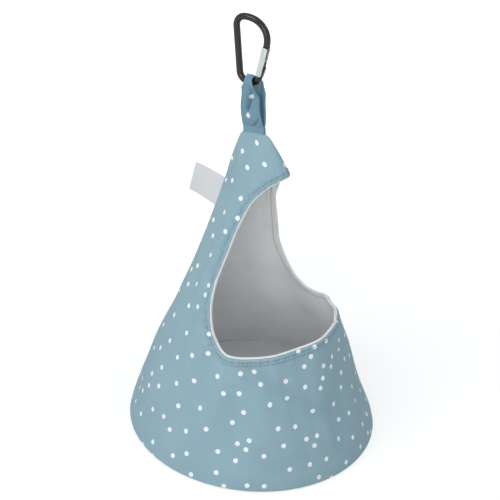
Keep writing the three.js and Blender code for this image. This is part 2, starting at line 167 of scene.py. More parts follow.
class Shade:
    """A shader socket that Python expressions can be written with."""

    def __init__(self, tree: bpy.types.NodeTree, link: bpy.types.NodeSocket) -> None:
        """Keeps the node tree and the output socket."""
        self.tree = tree
        self.link = link

    def math(self, operation: str, *others: Term, first: tuple[float, ...] = ()) -> "Shade":
        """Adds a Math node.

        Args:
            operation: The Math node's operation.
            others: The operands after this one.
            first: The operands before this one.

        Returns:
            The node's result.
        """
        node = self.tree.nodes.new("ShaderNodeMath")
        node.operation = operation
        for socket, value in zip(node.inputs, (*first, self, *others)):
            put(self.tree, socket, value)
        return Shade(self.tree, node.outputs[0])

    def __add__(self, other: Term) -> "Shade":
        """Returns the sum."""
        return self.math("ADD", other)

    __radd__ = __add__

    def __sub__(self, other: Term) -> "Shade":
        """Returns the difference."""
        return self.math("SUBTRACT", other)

    def __rsub__(self, other: float) -> "Shade":
        """Returns the number less this."""
        return self.math("SUBTRACT", first=(other,))

    def __mul__(self, other: Term) -> "Shade":
        """Returns the product."""
        return self.math("MULTIPLY", other)

    __rmul__ = __mul__

    def sibling(self, output: Union[str, int]) -> "Shade":
        """Returns another output of this one's node."""
        return Shade(self.tree, self.link.node.outputs[output])

    def wave(self, period: float) -> "Shade":
        """Returns a sine of this value, from -1 to 1, with the given period."""
        return (self * (2.0 * math.pi / period)).math("SINE")

    def eased(self, low: float, high: float) -> "Shade":
        """Eases from 0 to 1 as this value goes from low to high.

        Args:
            low: The value that gives 0.
            high: The value that gives 1, which may be the lower of the two.

        Returns:
            The eased value.
        """
        node = self.tree.nodes.new("ShaderNodeMapRange")
        node.interpolation_type = "SMOOTHSTEP"
        ends = {"From Min": min(low, high), "From Max": max(low, high)}
        ends.update({"To Min": float(low > high), "To Max": float(low < high)})
        for key, value in {**ends, "Value": self}.items():
            put(self.tree, node.inputs[key], value)
        return Shade(self.tree, node.outputs["Result"])


class Painter:
    """Makes the nodes of one material or of the sky."""

    def __init__(self, name: str, sky: bool = False) -> None:
        """Starts with the shader that the nodes feed.

        Args:
            name: The material's or the sky's name.
            sky: Whether it is the sky.
        """
        data, kind = (bpy.data.worlds, "BACKGROUND") if sky else (bpy.data.materials, "BSDF_PRINCIPLED")
        self.owner = data.new(name)
        self.owner.use_nodes = True
        self.tree = self.owner.node_tree
        self.shader = next(n for n in self.tree.nodes if n.type == kind)

    def node(self, kind: str, settings: dict[str, Any], output: Union[str, int] = 0, **sockets: Any) -> Shade:
        """Adds any node.

        Args:
            kind: The node's type.
            settings: Its settings, which are set first.
            output: The output socket that is returned, by name or number.
            sockets: Values or links of its inputs, by name with _ for a space.

        Returns:
            The chosen output.
        """
        made = self.tree.nodes.new(kind)
        for key, value in settings.items():
            setattr(made, key, value)
        for key, value in sockets.items():
            put(self.tree, made.inputs[key.replace("_", " ")], value)
        return Shade(self.tree, made.outputs[output])

    def where(self, kind: str) -> Shade:
        """Returns the Object or UV coordinates."""
        return self.node("ShaderNodeTexCoord", {}, kind)

    def attribute(self, name: str) -> Shade:
        """Returns a number that the mesh carries."""
        return self.node("ShaderNodeAttribute", {"attribute_name": name}, "Fac")

    def weave(self, flat: Shade, pitch: float) -> Shade:
        """Makes a plain weave.

        Args:
            flat: The flat coordinates, in metres.
            pitch: From thread to thread, in millimetres.

        Returns:
            The height of the threads, from 0 to 1.
        """
        across = self.node("ShaderNodeSeparateXYZ", {}, 0, Vector=flat)
        period = pitch * MM * 2.0
        return across.wave(period) * across.sibling(1).wave(period) * 0.5 + 0.5

    def mixed(self, share: Term, first: Any, second: Any) -> Shade:
        """Mixes two colours.

        Args:
            share: How much of the second colour shows.
            first: A colour or a link.
            second: A colour or a link.

        Returns:
            The mixed colour.
        """
        made = self.tree.nodes.new("ShaderNodeMix")
        made.data_type = "RGBA"
        for place, value in ((0, share), (6, first), (7, second)):
            put(self.tree, made.inputs[place], value)
        return Shade(self.tree, made.outputs[2])

    def noise(self, where: Shade, size: float, detail: float = 2.0) -> Shade:
        """Returns soft noise from 0 to 1, with patches of a size in metres."""
        return self.node("ShaderNodeTexNoise", {}, "Fac", Vector=where, Scale=1.0 / size, Detail=detail)

    def stretched(self, where: Shade, scale: tuple[float, float, float]) -> Shade:
        """Returns the coordinates multiplied by a scale on each axis."""
        return self.node("ShaderNodeMapping", {"vector_type": "POINT"}, 0, Vector=where, Scale=scale)

    def bump(self, *layers: tuple[Shade, float]) -> Shade:
        """Turns heights into a normal.

        Args:
            layers: Each one's height from 0 to 1, and what 1 stands for in metres. Later
                ones go on top.

        Returns:
            The normal.
        """
        under: dict[str, Shade] = {}
        for height, depth in layers:
            made = self.node("ShaderNodeBump", {}, 0, Height=height, Distance=depth, Strength=1.0, **under)
            under = {"Normal": made}
        return made

    def seen(self) -> Shade:
        """Tells what looks at a surface from what lights it.

        Returns:
            1 for the camera, a mirror or glass, and 0 for the light itself.
        """
        camera = self.node("ShaderNodeLightPath", {}, "Is Camera Ray")
        mirror, glass = camera.sibling("Is Glossy Ray"), camera.sibling("Is Transmission Ray")
        return camera.math("MAXIMUM", mirror).math("MAXIMUM", glass)

    def feed(self, **sockets: Any) -> Any:
        """Sets the shader's inputs.

        Args:
            sockets: Values or links, by name with _ for a space.

        Returns:
            The material or the sky.
        """
        for key, value in sockets.items():
            put(self.tree, self.shader.inputs[key.replace("_", " ")], value)
        return self.owner


def colour(red: int, green: int, blue: int) -> Colour:
    """Turns a colour as a screen shows it into the shader's linear one.

    Args:
        red: From 0 to 255.
        green: From 0 to 255.
        blue: From 0 to 255.

    Returns:
        The linear colour.
    """
    shares = (part / 255.0 for part in (red, green, blue))
    linear = [s / 12.92 if s <= 0.04045 else ((s + 0.055) / 1.055) ** 2.4 for s in shares]
    return (linear[0], linear[1], linear[2], 1.0)


@dataclass(frozen=True)
class DottedCloth:
    """A plain weave printed with small white dots in no order."""

    name: str = "dotted_cloth"
    base: Colour = colour(146, 176, 188)
    faded: Colour = colour(161, 189, 199)
    # The groove colour is painted shade: it darkens the gaps between the threads, and along a hem the stitch
    # line, the hem's folded step and its puckers.
    groove: Colour = colour(104, 137, 151)
    dot: Colour = colour(252, 254, 254)
    dot_pitch: float = 17.4
    dot_radius: float = 1.87
    dot_blur: float = 0.15
    scatter: float = 0.6
    twins: float = 0.12
    twin_gap: tuple[float, float, float] = (0.26, 0.36, 0.0)
    thread_pitch: float = 0.36
    stitch_pitch: float = 2.9
    pucker_pitch: float = 4.1

    def dots(self, paint: Painter, flat: Shade) -> Shade:
        """Scatters the dots: one in each cell, and beside a few of them a twin.

        Args:
            paint: The material's painter.
            flat: The flat coordinates, in metres.

        Returns:
            1 on the dots and 0 between them.
        """
        cells = paint.stretched(flat, (1.0 / (self.dot_pitch * MM),) * 3)
        kind = {"voronoi_dimensions": "2D", "feature": "F1"}
        loose = {"Scale": 1.0, "Randomness": self.scatter}
        first, second = (
            paint.node("ShaderNodeTexVoronoi", kind, "Distance", Vector=where, **loose)
            for where in (cells, paint.node("ShaderNodeMapping", {}, 0, Vector=cells, Location=self.twin_gap))
        )
        chance = paint.node("ShaderNodeSeparateXYZ", {}, 0, Vector=second.sibling("Color"))
        distance = first.math("MINIMUM", second + chance.eased(self.twins, self.twins + 0.01))
        ragged = (paint.noise(flat, 0.0006, 1.0) - 0.5) * 0.3
        edge = distance * self.dot_pitch + ragged
        return edge.eased(self.dot_radius + self.dot_blur, self.dot_radius - self.dot_blur)

    def make(self, hem: bool = False) -> Material:
        """Makes the material.

        Args:
            hem: Whether the piece carries the attributes edge_mm and run_mm, so that
            painted shade marks its hem along the opening.

        Returns:
            The material.
        """
        paint = Painter(self.name)
        flat = paint.where("UV")
        dots = self.dots(paint, flat)
        weave = paint.weave(flat, self.thread_pitch)
        cloudy = paint.noise(flat, 0.035, 3.0).eased(0.3, 0.7)
        fleck = paint.noise(flat, 0.0009)
        ground = paint.mixed(cloudy * 0.35 + (fleck - 0.5) * 0.5 + 0.1, self.base, self.faded)
        # Painted shade in the low gaps of the weave.
        ground = paint.mixed((1.0 - weave) * 0.12, ground, self.groove)
        relief = [(weave, 0.00007), (paint.noise(flat, 0.012, 3.0), 0.0006), (dots, 0.00004)]
        if hem:
            # Painted shade along the hem: a dark stitch line, a dark band at the hem's folded step, and
            # darker puckers.
            edge, run = paint.attribute("edge_mm"), paint.attribute("run_mm")
            line = edge.eased(2.4, 2.9) * edge.eased(3.7, 3.2) * (run.wave(self.stitch_pitch) * 0.25 + 0.75)
            fold = edge.eased(4.4, 5.0) * edge.eased(6.2, 5.2)
            uneven = paint.noise(flat, 0.011)
            pucker = (run + uneven * 6.0).wave(self.pucker_pitch) * 0.5 + 0.5
            pucker = pucker * edge.eased(0.8, 2.6) * edge.eased(7.0, 3.8)
            ground = paint.mixed(line * 0.3 + fold * uneven * 0.2 + pucker * 0.14, ground, self.groove)
            relief.append((pucker, 0.0004))
        return paint.feed(
            Base_Color=paint.mixed(dots * 0.96, ground, self.dot),
            Roughness=0.78 - dots * 0.14 + (fleck - 0.5) * 0.1,
            Normal=paint.bump(*relief),
            Sheen_Weight=0.1,
            Sheen_Roughness=0.5,
            Specular_IOR_Level=0.32,
        )


@dataclass(frozen=True)
class LiningCloth:
    """The pale closely woven lining."""

    name: str = "lining_cloth"
    base: Colour = colour(250, 250, 249)
    shadow: Colour = colour(238, 238, 239)
    # The crease colour is painted shade, a dark line along the sewn groove by the opening.
    crease: Colour = colour(120, 121, 124)
    thread_pitch: float = 0.3

    def make(self, hem: bool = False) -> Material:
        """Makes the material.

        Args:
            hem: Whether the piece carries the attribute edge_mm, so that a dark line of
            painted shade marks the sewing along the opening.

        Returns:
            The material.
        """
        paint = Painter(self.name)
        flat = paint.where("UV")
        weave = paint.weave(flat, self.thread_pitch)
        cloudy = paint.noise(flat, 0.03, 3.0).eased(0.35, 0.75)
        ground = paint.mixed(cloudy * 0.5 + (1.0 - weave) * 0.2, self.base, self.shadow)
        if hem:
            edge = paint.attribute("edge_mm")
            # Painted shade of the sewn groove, as a dark line.
            line = edge.eased(3.6, 4.0) * edge.eased(4.6, 4.2)
            ground = paint.mixed(line * 0.5, ground, self.crease)
        return paint.feed(
            Base_Color=ground,
            Roughness=0.9 - weave * 0.06,
            Normal=paint.bump((weave, 0.00005), (paint.noise(flat, 0.014, 3.0), 0.0005)),
            Sheen_Weight=0.1,
            Specular_IOR_Level=0.25,
        )


@dataclass(frozen=True)
class Thread:
    """Twisted sewing thread."""

    name: str = "thread"
    base: Colour = colour(126, 160, 175)
    dark: Colour = colour(92, 126, 142)

    def make(self) -> Material:
        """Makes the nodes.

        Returns:
            The material.
        """
        paint = Painter(self.name)
        twist = paint.noise(paint.where("Object"), 0.0003, 1.0)
        return paint.feed(
            Base_Color=paint.mixed(twist.eased(0.35, 0.65), self.dark, self.base),
            Roughness=0.6 + twist * 0.2,
            Normal=paint.bump((twist, 0.00006)),
            Specular_IOR_Level=0.35,
        )


@dataclass(frozen=True)
class RibbonCloth:
    """The white woven ribbon of the label, left bare."""

    name: str = "label_ribbon"
    base: Colour = colour(229, 229, 230)
    rib: Colour = colour(209, 210, 212)
    rib_pitch: float = 0.0007
    satin_pitch: float = 0.0004

    def make(self) -> Material:
        """Makes the nodes.

        Returns:
            The material.
        """
        paint = Painter(self.name)
        flat = paint.where("UV")
        across = paint.node("ShaderNodeSeparateXYZ", {}, 0, Vector=flat)
        ribs = across.sibling(1).wave(self.rib_pitch) * 0.5 + 0.5
        satin = across.wave(self.satin_pitch) * 0.5 + 0.5
        fleck = paint.noise(flat, 0.0012)
        relief = (ribs * 0.7 + satin * 0.3, 0.00005)
        return paint.feed(
            Base_Color=paint.mixed(ribs * 0.3 + satin * 0.1 + (fleck - 0.5) * 0.5, self.base, self.rib),
            Roughness=0.55 + fleck * 0.15,
            Normal=paint.bump(relief, (paint.noise(flat, 0.006), 0.0002)),
            Sheen_Weight=0.15,
            Specular_IOR_Level=0.4,
        )


@dataclass(frozen=True)
class BoardFinish:
    """Grey pressed board, for the stiffener that lies hidden in the base."""

    name: str = "stiffener_board"
    base: Colour = colour(196, 192, 182)
    fibre: Colour = colour(160, 154, 142)

    def make(self) -> Material:
        """Makes the nodes.

        Returns:
            The material.
        """
        paint = Painter(self.name)
        fibre = paint.noise(paint.stretched(paint.where("Object"), (1.0, 0.2, 1.0)), 0.0008, 4.0)
        return paint.feed(
            Base_Color=paint.mixed(fibre.eased(0.3, 0.7), self.fibre, self.base),
            Roughness=0.75 + fibre * 0.2,
            Normal=paint.bump((fibre, 0.0001)),
        )


@dataclass(frozen=True)
class BlackMetal:
    """Black anodised rod with faint drawing lines and rubbed spots."""

    name: str = "black_metal"
    base: Colour = colour(22, 23, 23)
    rubbed: Colour = colour(52, 54, 55)

    def make(self) -> Material:
        """Makes the nodes.

        Returns:
            The material.
        """
        paint = Painter(self.name)
        where = paint.where("Object")
        lines = paint.noise(paint.stretched(where, (1.0, 1.0, 0.06)), 0.00035, 3.0)
        rubs = paint.noise(where, 0.006, 4.0).eased(0.58, 0.78)
        return paint.feed(
            Base_Color=paint.mixed(rubs * 0.5 + lines * 0.12, self.base, self.rubbed),
            Metallic=0.1,
            Roughness=0.16 + lines * 0.1 + rubs * 0.1,
            Normal=paint.bump((lines, 0.00001)),
            Specular_IOR_Level=0.38,
            Coat_Weight=0.08,
            Coat_Roughness=0.04,
        )


@dataclass(frozen=True)
class SilverMetal:
    """Bright bare metal, brushed along its length."""

    name: str = "silver_metal"
    base: Colour = colour(196, 204, 203)
    scratch: Colour = colour(150, 157, 157)
    roughness: float = 0.34

    def make(self) -> Material:
        """Makes the nodes.

        Returns:
            The material.
        """
        paint = Painter(self.name)
        where = paint.where("Object")
        lines = paint.noise(paint.stretched(where, (1.0, 1.0, 0.05)), 0.00022, 3.0)
        spots = paint.noise(where, 0.0015, 3.0).eased(0.6, 0.8)
        return paint.feed(
            Base_Color=paint.mixed(lines.eased(0.45, 0.7) * 0.5 + spots * 0.4, self.base, self.scratch),
            Metallic=0.9,
            Roughness=self.roughness + lines * 0.15,
            Normal=paint.bump((lines, 0.000012)),
        )


# Meshes made from primitives.
def take(*pieces: Piece) -> None:
    """Selects pieces and nothing else.

    Args:
        pieces: The pieces, the active one first.
    """
    bpy.ops.object.select_all(action="DESELECT")
    for piece in pieces:
        piece.select_set(True)
    bpy.context.view_layer.objects.active = pieces[0] if pieces else None


def added(name: str, primitive: Callable[..., Any], **settings: Any) -> Piece:
    """Adds one primitive object, with nothing else selected.

    Args:
        name: The piece's name.
        primitive: The operator.
        settings: What the operator is given.

    Returns:
        The piece.
    """
    take()
    primitive(**settings)
    piece = bpy.context.object
    piece.name = piece.data.name = name
    return piece


def read(items: Any, key: str, width: int = 3) -> Array:
    """Reads a property of all of a mesh's points, corners or faces.

    Args:
        items: The mesh's collection of them.
        key: The property.
        width: How many numbers each one has.

    Returns:
        A row of numbers for each.
    """
    flat = np.zeros(len(items) * width)
    items.foreach_get(key, flat)
    return flat.reshape(-1, width)


def points_of(piece: Piece) -> Array:
    """Returns a mesh's points in metres."""
    return read(piece.data.vertices, "co")


def move_points(piece: Piece, points: Array) -> None:
    """Moves a mesh's points to the given places in metres."""
    piece.data.vertices.foreach_set("co", np.asarray(points, np.float32).ravel())
    piece.data.update()


def move_by(piece: Piece, place: Callable[[Array], Array]) -> None:
    """Moves a mesh's points as a function of their places in millimetres says."""
    move_points(piece, place(points_of(piece) / MM) * MM)


def set_flat(piece: Piece, spread: Array) -> None:
    """Gives each point's flat place to the corners of its faces.

    Args:
        piece: The mesh.
        spread: The flat places, in metres.
    """
    layer = piece.data.uv_layers.active or piece.data.uv_layers.new(name="UVMap")
    corner = np.zeros(len(piece.data.loops), np.int32)
    piece.data.loops.foreach_get("vertex_index", corner)
    layer.data.foreach_set("uv", spread[corner].astype(np.float32).ravel())


def apply_modifier(piece: Piece, kind: str, **settings: Any) -> None:
    """Adds a modifier and applies it.

    Args:
        piece: The mesh.
        kind: The modifier's type.
        settings: Its settings.
    """
    take(piece)
    modifier = piece.modifiers.new(kind.lower(), kind)
    for key, value in settings.items():
        setattr(modifier, key, value)
    bpy.ops.object.modifier_apply(modifier=modifier.name)


def thicken(piece: Piece, thickness: float, side: Side) -> None:
    """Gives a sheet its thickness in millimetres, an even one where it goes both ways."""
    even = side is Side.BOTH
    apply_modifier(piece, "SOLIDIFY", thickness=thickness * MM, offset=side.value, use_even_offset=even)


def round_edges(piece: Piece, width: float, segments: int, angle: float = 0.6) -> None:
    """Rounds the edges sharper than an angle in radians, by a width in millimetres."""
    limit = {"limit_method": "ANGLE", "angle_limit": angle}
    apply_modifier(piece, "BEVEL", width=width * MM, segments=segments, **limit)


def edit_all(piece: Piece, *steps: Callable[[], Any]) -> None:
    """Runs edit-mode operators on the whole of a mesh.

    Args:
        piece: The mesh.
        steps: The operators, each with its settings.
    """
    take(piece)
    bpy.ops.object.mode_set(mode="EDIT")
    bpy.ops.mesh.select_all(action="SELECT")
    for step in steps:
        step()
    bpy.ops.object.mode_set(mode="OBJECT")


def weld(piece: Piece, reach: float = 0.002) -> None:
    """Merges points that meet and turns the faces outwards.

    Args:
        piece: The mesh.
        reach: How far apart such points may lie, in millimetres.
    """
    edit_all(
        piece,
        lambda: bpy.ops.mesh.remove_doubles(threshold=reach * MM),
        lambda: bpy.ops.mesh.normals_make_consistent(inside=False),
    )


def soften(piece: Piece, angle: float) -> None:
    """Shades a piece smooth, apart from edges sharper than the angle in degrees."""
    take(piece)
    bpy.ops.object.shade_smooth_by_angle(angle=math.radians(angle))


def formed_grid(name: str, size: tuple[int, int], place: Place, flat: Union[Place, None] = None) -> Piece:
    """Adds a grid primitive and moves its points onto a form.

    Args:
        name: The piece's name.
        size: How many faces it has each way.
        place: Gives the points in millimetres from the grid's two shares.
        flat: Gives the cloth's flat coordinates in millimetres from the shares.

    Returns:
        The piece, with its faces as they fall and its doubles not yet merged.
    """
    steps = {"x_subdivisions": size[0], "y_subdivisions": size[1]}
    piece = added(name, bpy.ops.mesh.primitive_grid_add, size=1.0, **steps)
    across, along = (points_of(piece)[:, :2] + 0.5).T
    move_points(piece, place(across, along) * MM)
    if flat is not None:
        set_flat(piece, flat(across, along) * MM)
    return piece


def face_from(piece: Piece, axis: Callable[[Array], Array]) -> None:
    """Turns an open sheet's faces away from a line inside it.

    Args:
        piece: The mesh, whose faces already agree.
        axis: Gives the nearest places inside for an array of face centres.
    """
    faces = piece.data.polygons
    centres = read(faces, "center")
    facing = (read(faces, "normal") * (centres - axis(centres))).sum(1) * read(faces, "area", 1)[:, 0]
    if facing.sum() <= 0:
        piece.data.flip_normals()


def copied(name: str, model: Piece, frames: Array) -> Piece:
    """Copies a small modelled shape to many places in one mesh.

    Args:
        name: The new piece's name.
        model: The shape, modelled at the origin, in metres. It is removed.
        frames: One 3 by 4 matrix for each copy, in metres.

    Returns:
        The piece with all the copies.
    """
    shape = points_of(model)
    faces = [tuple(face.vertices) for face in model.data.polygons]
    spots = np.concatenate([shape @ m[:, :3].T + m[:, 3] for m in frames])
    many = [tuple(v + k * len(shape) for v in face) for k in range(len(frames)) for face in faces]
    mesh = bpy.data.meshes.new(name)
    mesh.from_pydata(spots.tolist(), [], many)
    mesh.update()
    piece = bpy.data.objects.new(name, mesh)
    bpy.context.scene.collection.objects.link(piece)
    bpy.data.objects.remove(model)
    soften(piece, 80.0)
    return piece


def finish_piece(
    piece: Piece,
    material: Material,
    body: Body,
    slot: Slot,
    replaces: tuple[str, ...] = (),
    bend: Union[tuple[Body, Array, Array], None] = None,
) -> None:
    """Dresses a piece, and puts it on its body unless it is given a bend.

    Args:
        piece: The finished mesh.
        material: Its finish.
        body: The body that it rides on.
        slot: The record's slot of its finish. It is not used.
        replaces: The CAD nodes that it stands for.
        bend: Given for a piece that bends. Such a piece is put on no body, and its placing
        is baked into its points. Only whether it is given counts.
    """
    take(piece)
    bpy.ops.object.transform_apply(location=True, rotation=True, scale=True)
    piece.data.materials.clear()
    piece.data.materials.append(material)
    if bend is None:
        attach(piece, body.value)
    else:
        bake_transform(piece)
    if replaces:
        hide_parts(*replaces)
    log.info("%s: %d faces on %s", piece.name, len(piece.data.polygons), body.value)


# The bag's form.
@dataclass(frozen=True)
class Fold:
    """One soft fold or dent, as a long smooth hollow or ridge.

    The turn is in degrees from the front, minus on the side that the camera sees. The
    lean is how many millimetres its line moves across for each one that it rises.
    """

    turn: float
    level: float
    length: float
    width: float
    lean: float
    depth: float


@dataclass(frozen=True)
class BagForm:
    """The bag's outer surface, as in the part's source."""

    base_radius: float = 100.0
    height: float = 249.0
    top_half_width: float = 11.0
    top_half_thickness: float = 2.4
    top_setback: float = 18.0
    shoulder_radius: float = 4.0
    seam_tilt: float = math.radians(9.0)
    tip_drop: float = 26.0
    tip_reach: float = 15.0
    tuck_radius: float = 2.0
    tuck_rise: float = 0.7
    seam_reach: float = 2.4
    seam_rise: float = 0.25
    kink: float = 1.2
    folds: tuple[Fold, ...] = (
        Fold(-150, 168, 150, 42, 0.0, -3.6),
        Fold(-150, 62, 70, 50, 0.0, 1.6),
        Fold(30, 28, 60, 42, 0.0, -2.6),
        Fold(-36, 62, 62, 13, -1.35, -5.0),
        Fold(-58, 58, 60, 13, -0.9, 2.0),
        Fold(-18, 40, 50, 14, -0.6, 2.0),
        Fold(-66, 40, 70, 8, -0.2, -1.6),
        Fold(-84, 80, 50, 3.4, -0.4, -0.8),
        Fold(-91, 78, 56, 3.6, 0.1, -0.8),
        Fold(-77, 84, 44, 3.2, -0.85, -0.7),
        Fold(-97, 88, 60, 3.8, 0.35, 0.7),
        Fold(-108, 172, 80, 6, 0.12, 1.6),
        Fold(-124, 150, 100, 7, 0.05, -1.6),
        Fold(-103, 118, 60, 7, 0.15, 1.4),
        Fold(-113, 110, 80, 6, 0.1, -1.3),
        Fold(-93, 66, 80, 12, 0.15, -1.6),
        Fold(-80, 60, 70, 8, 0.3, 1.3),
        Fold(-138, 120, 120, 12, 0.0, 1.5),
        Fold(-75, 205, 50, 7, 0.3, -0.9),
        Fold(-52, 214, 34, 6, 0.4, 0.6),
        Fold(4, 62, 60, 16, 0.5, -2.0),
        Fold(52, 62, 80, 16, 0.4, 2.0),
        Fold(78, 70, 90, 14, 0.2, -2.3),
        Fold(93, 84, 60, 3.6, -0.2, -0.8),
        Fold(104, 140, 90, 9, 0.0, 1.6),
        Fold(120, 100, 120, 13, 0.1, -2.1),
        Fold(148, 140, 110, 11, 0.0, 1.5),
        Fold(-163, 90, 120, 13, 0.1, -1.4),
        Fold(164, 70, 100, 13, -0.1, 1.7),
    )

    @property
    def tip_height(self) -> float:
        """Height of the hood's point."""
        return self.height - self.tip_drop

    def front(self, z: Array) -> Array:
        """Gives how far forward the form reaches.

        Args:
            z: Heights.

        Returns:
            The places in Y.
        """
        slope = (self.base_radius - self.tip_reach) / self.tip_height
        steeper = (self.top_setback - self.top_half_width + self.tip_reach) / self.tip_drop - slope
        past = np.clip((z - self.tip_height) / self.kink, -40, 40)
        return -self.base_radius + slope * z + steeper * self.kink * np.log1p(np.exp(past))

    def back(self, z: Array) -> Array:
        """Returns how far back the form reaches at each height."""
        return mix(self.base_radius, self.top_setback + self.top_half_width, z / self.height)

    def half(self, z: Array) -> Array:
        """Returns half of the form's thickness, side to side, at each height."""
        return mix(self.base_radius, self.top_half_thickness, z / self.height)

    def round_in(self, radius: float, along: Array) -> Array:
        """Returns how far a quarter round has drawn in, this far along it."""
        share = np.clip(along / radius, 0.0, 1.0)
        return radius * (1.0 - np.sqrt(1.0 - share * share))

    def bare_point(self, turn: Array, level: Array, inset: float) -> Array:
        """Gives points on the smooth form.

        Args:
            turn: Angles from the front.
            level: Levels. Below 0 the cloth turns in under the base.
            inset: How far the surface is drawn in.

        Returns:
            The points, in millimetres.
        """
        z = np.clip(level, 0.0, self.height)
        under = np.maximum(-level, 0.0)
        slant = math.hypot(self.base_radius, self.height) / self.height
        draw = inset * slant + self.round_in(self.tuck_radius, self.tuck_radius - z) + under
        shoulder = self.round_in(self.shoulder_radius, z - self.height + self.shoulder_radius)
        half_width = (self.back(z) - self.front(z)) / 2 - draw - shoulder
        closing = self.round_in(self.seam_reach, z - self.height + self.seam_reach) / self.seam_reach
        x = (self.half(z) - draw) * np.sin(turn) * (1.0 - closing)
        y = (self.back(z) + self.front(z)) / 2 - half_width * np.cos(turn)
        lift = np.maximum(z - self.tip_height, 0) / self.tip_drop
        fall = math.tan(self.seam_tilt) * (y - self.top_setback) * lift
        rise = self.tuck_rise * smooth(0.6, 2.4, under)
        return np.stack([x, y, z - fall + rise + self.seam_rise * closing**2], axis=-1)

    def normal(self, turn: Array, level: Array, inset: float) -> Array:
        """Gives the smooth form's outward directions.

        Args:
            turn: Angles from the front.
            level: Levels.
            inset: How far the surface is drawn in.

        Returns:
            Directions of length one.
        """
        step = 1e-3
        across = self.bare_point(turn + step, level, inset) - self.bare_point(turn - step, level, inset)
        low = np.clip(level - 0.05, -2.3, self.height - 0.4)
        high = np.minimum(level + 0.05, self.height - 0.3)
        along = self.bare_point(turn, high, inset) - self.bare_point(turn, low, inset)
        return unit(np.cross(across, along))

    def sag(self, turn: Array, level: Array) -> Array:
        """Gives the cloth's soft folds as an outward distance.

        Args:
            turn: Angles from the front.
            level: Levels.

        Returns:
            Millimetres outwards from the smooth form.
        """
        radius = self.half(np.clip(level, 0, self.height))
        total = np.zeros_like(turn)
        for fold in self.folds:
            offset = (turn - math.radians(fold.turn) + math.pi) % (2 * math.pi) - math.pi
            rise = level - fold.level
            across = offset * radius - fold.lean * rise
            total = total + fold.depth * hump(across / fold.width) * hump(rise / (0.5 * fold.length))
        # Ripples, from slow to fine, and level ones low down.
        slow = 0.55 * np.sin(6 * turn + 0.012 * level + 1.4 * np.sin(2 * turn + 0.015 * level))
        even = 0.42 * np.sin(13 * turn - 0.03 * level + 1.2 * np.sin(3 * turn - 0.02 * level) + 1.3)
        fine = 0.3 * np.sin(27 * turn + 0.04 * level + 1.5 * np.sin(5 * turn + 0.05 * level))
        fine = fine * (0.5 + 0.5 * np.sin(3 * turn + 0.045 * level + 0.7))
        flat = 0.3 * np.sin(0.13 * level + 5 * turn + 1.5 * np.sin(4 * turn - 0.04 * level))
        ripple = slow + even + fine + flat * (1 - smooth(90, 150, level))
        calm = smooth(3, 26, level) * (1 - smooth(self.height - 40, self.height - 12, level))
        seam = np.abs(np.abs(turn) - math.pi) * radius
        groove = -0.55 * hump(seam / 0.9) + 0.35 * hump((seam - 3.2) / 2.2)
        sewn = smooth(2, 8, level) * (1 - smooth(self.height - 30, self.height - 14, level))
        rounded = -0.9 * (1 - smooth(0, 11, level)) + 0.06 * np.sin(38 * turn) * hump((level - 7) / 3)
        return (total + ripple) * calm + groove * sewn + rounded

    def point(self, turn: Array, level: Array, inset: float, lift: Union[Array, float] = 0.0) -> Array:
        """Gives points on the cloth, folds and all.

        Args:
            turn: Angles from the front.
            level: Levels.
            inset: How far the surface is drawn in.
            lift: A further outward distance.

        Returns:
            The points, in millimetres.
        """
        outward = self.normal(turn, level, inset)
        height = np.asarray(self.sag(turn, level) + lift)
        moved = self.bare_point(turn, level, inset) + outward * height[..., None]
        moved[..., 2] = np.maximum(moved[..., 2], 0.0)
        return moved

    def tilted(self, points: Array) -> Array:
        """Takes points from the frame of the loop and hook to the part's own.

        Args:
            points: In millimetres from the middle of the top seam, with Z square to it.

        Returns:
            The points in the part's frame, in millimetres.
        """
        c, s = math.cos(self.seam_tilt), -math.sin(self.seam_tilt)
        x, y, z = points[..., 0], points[..., 1], points[..., 2]
        return np.stack([x, c * y - s * z + self.top_setback, s * y + c * z + self.height], axis=-1)


@dataclass(frozen=True)
class FlatCut:
    """The bag's cloth laid flat, by unrolling its straight lines from base to hood."""

    form: BagForm
    steps: int = 1440
    tuck_stretch: float = 1.3

    def lines(self) -> tuple[Array, Array, Array]:
        """Unrolls the form, two triangles at a time.

        Returns:
            The turns, and the flat places of each line's foot and of its head at the
            height of the hood's point, as complex numbers.
        """

        def angle(first: Array, second: Array) -> Array:
            """Returns the angles between matching vectors."""
            return np.arctan2(np.linalg.norm(np.cross(first, second), axis=1), (first * second).sum(1))

        turns = np.linspace(-math.pi, math.pi, self.steps + 1)
        levels = (self.form.tuck_radius, self.form.tip_height)
        feet, heads = (self.form.bare_point(turns, np.full_like(turns, level), 0.0) for level in levels)
        line, step, back = heads - feet, np.diff(feet, axis=0), heads[:-1] - feet[1:]
        corner = angle(line[:-1], step)
        bend = math.pi - corner - angle(-step, back) - angle(back, line[1:])
        heading = np.concatenate([[0.0], np.cumsum(bend)])
        heading += math.pi / 2 - heading[self.steps // 2]
        moves = np.linalg.norm(step, axis=1) * np.exp(1j * (heading[:-1] - corner))
        foot = np.concatenate([[0.0], np.cumsum(moves)])
        foot -= foot[self.steps // 2]
        return turns, foot, foot + np.linalg.norm(line, axis=1) * np.exp(1j * heading)

    def spread(self, turn: Array, level: Array) -> Array:
        """Gives flat coordinates of places on the form.

        Args:
            turn: Angles from the front.
            level: Levels.

        Returns:
            Their flat places, in millimetres.
        """
        turns, feet, heads = self.lines()
        foot, head = np.interp(turn, turns, feet), np.interp(turn, turns, heads)
        tuck = self.form.tuck_radius
        place = self.form.bare_point(turn, np.maximum(level, tuck), 0.0)
        reach = np.linalg.norm(place - self.form.bare_point(turn, np.full_like(turn, tuck), 0.0), axis=-1)
        reach = reach - np.maximum(tuck - level, 0.0) * self.tuck_stretch
        spot = foot + (head - foot) * reach / np.abs(head - foot)
        return np.stack([spot.real, spot.imag], axis=-1)


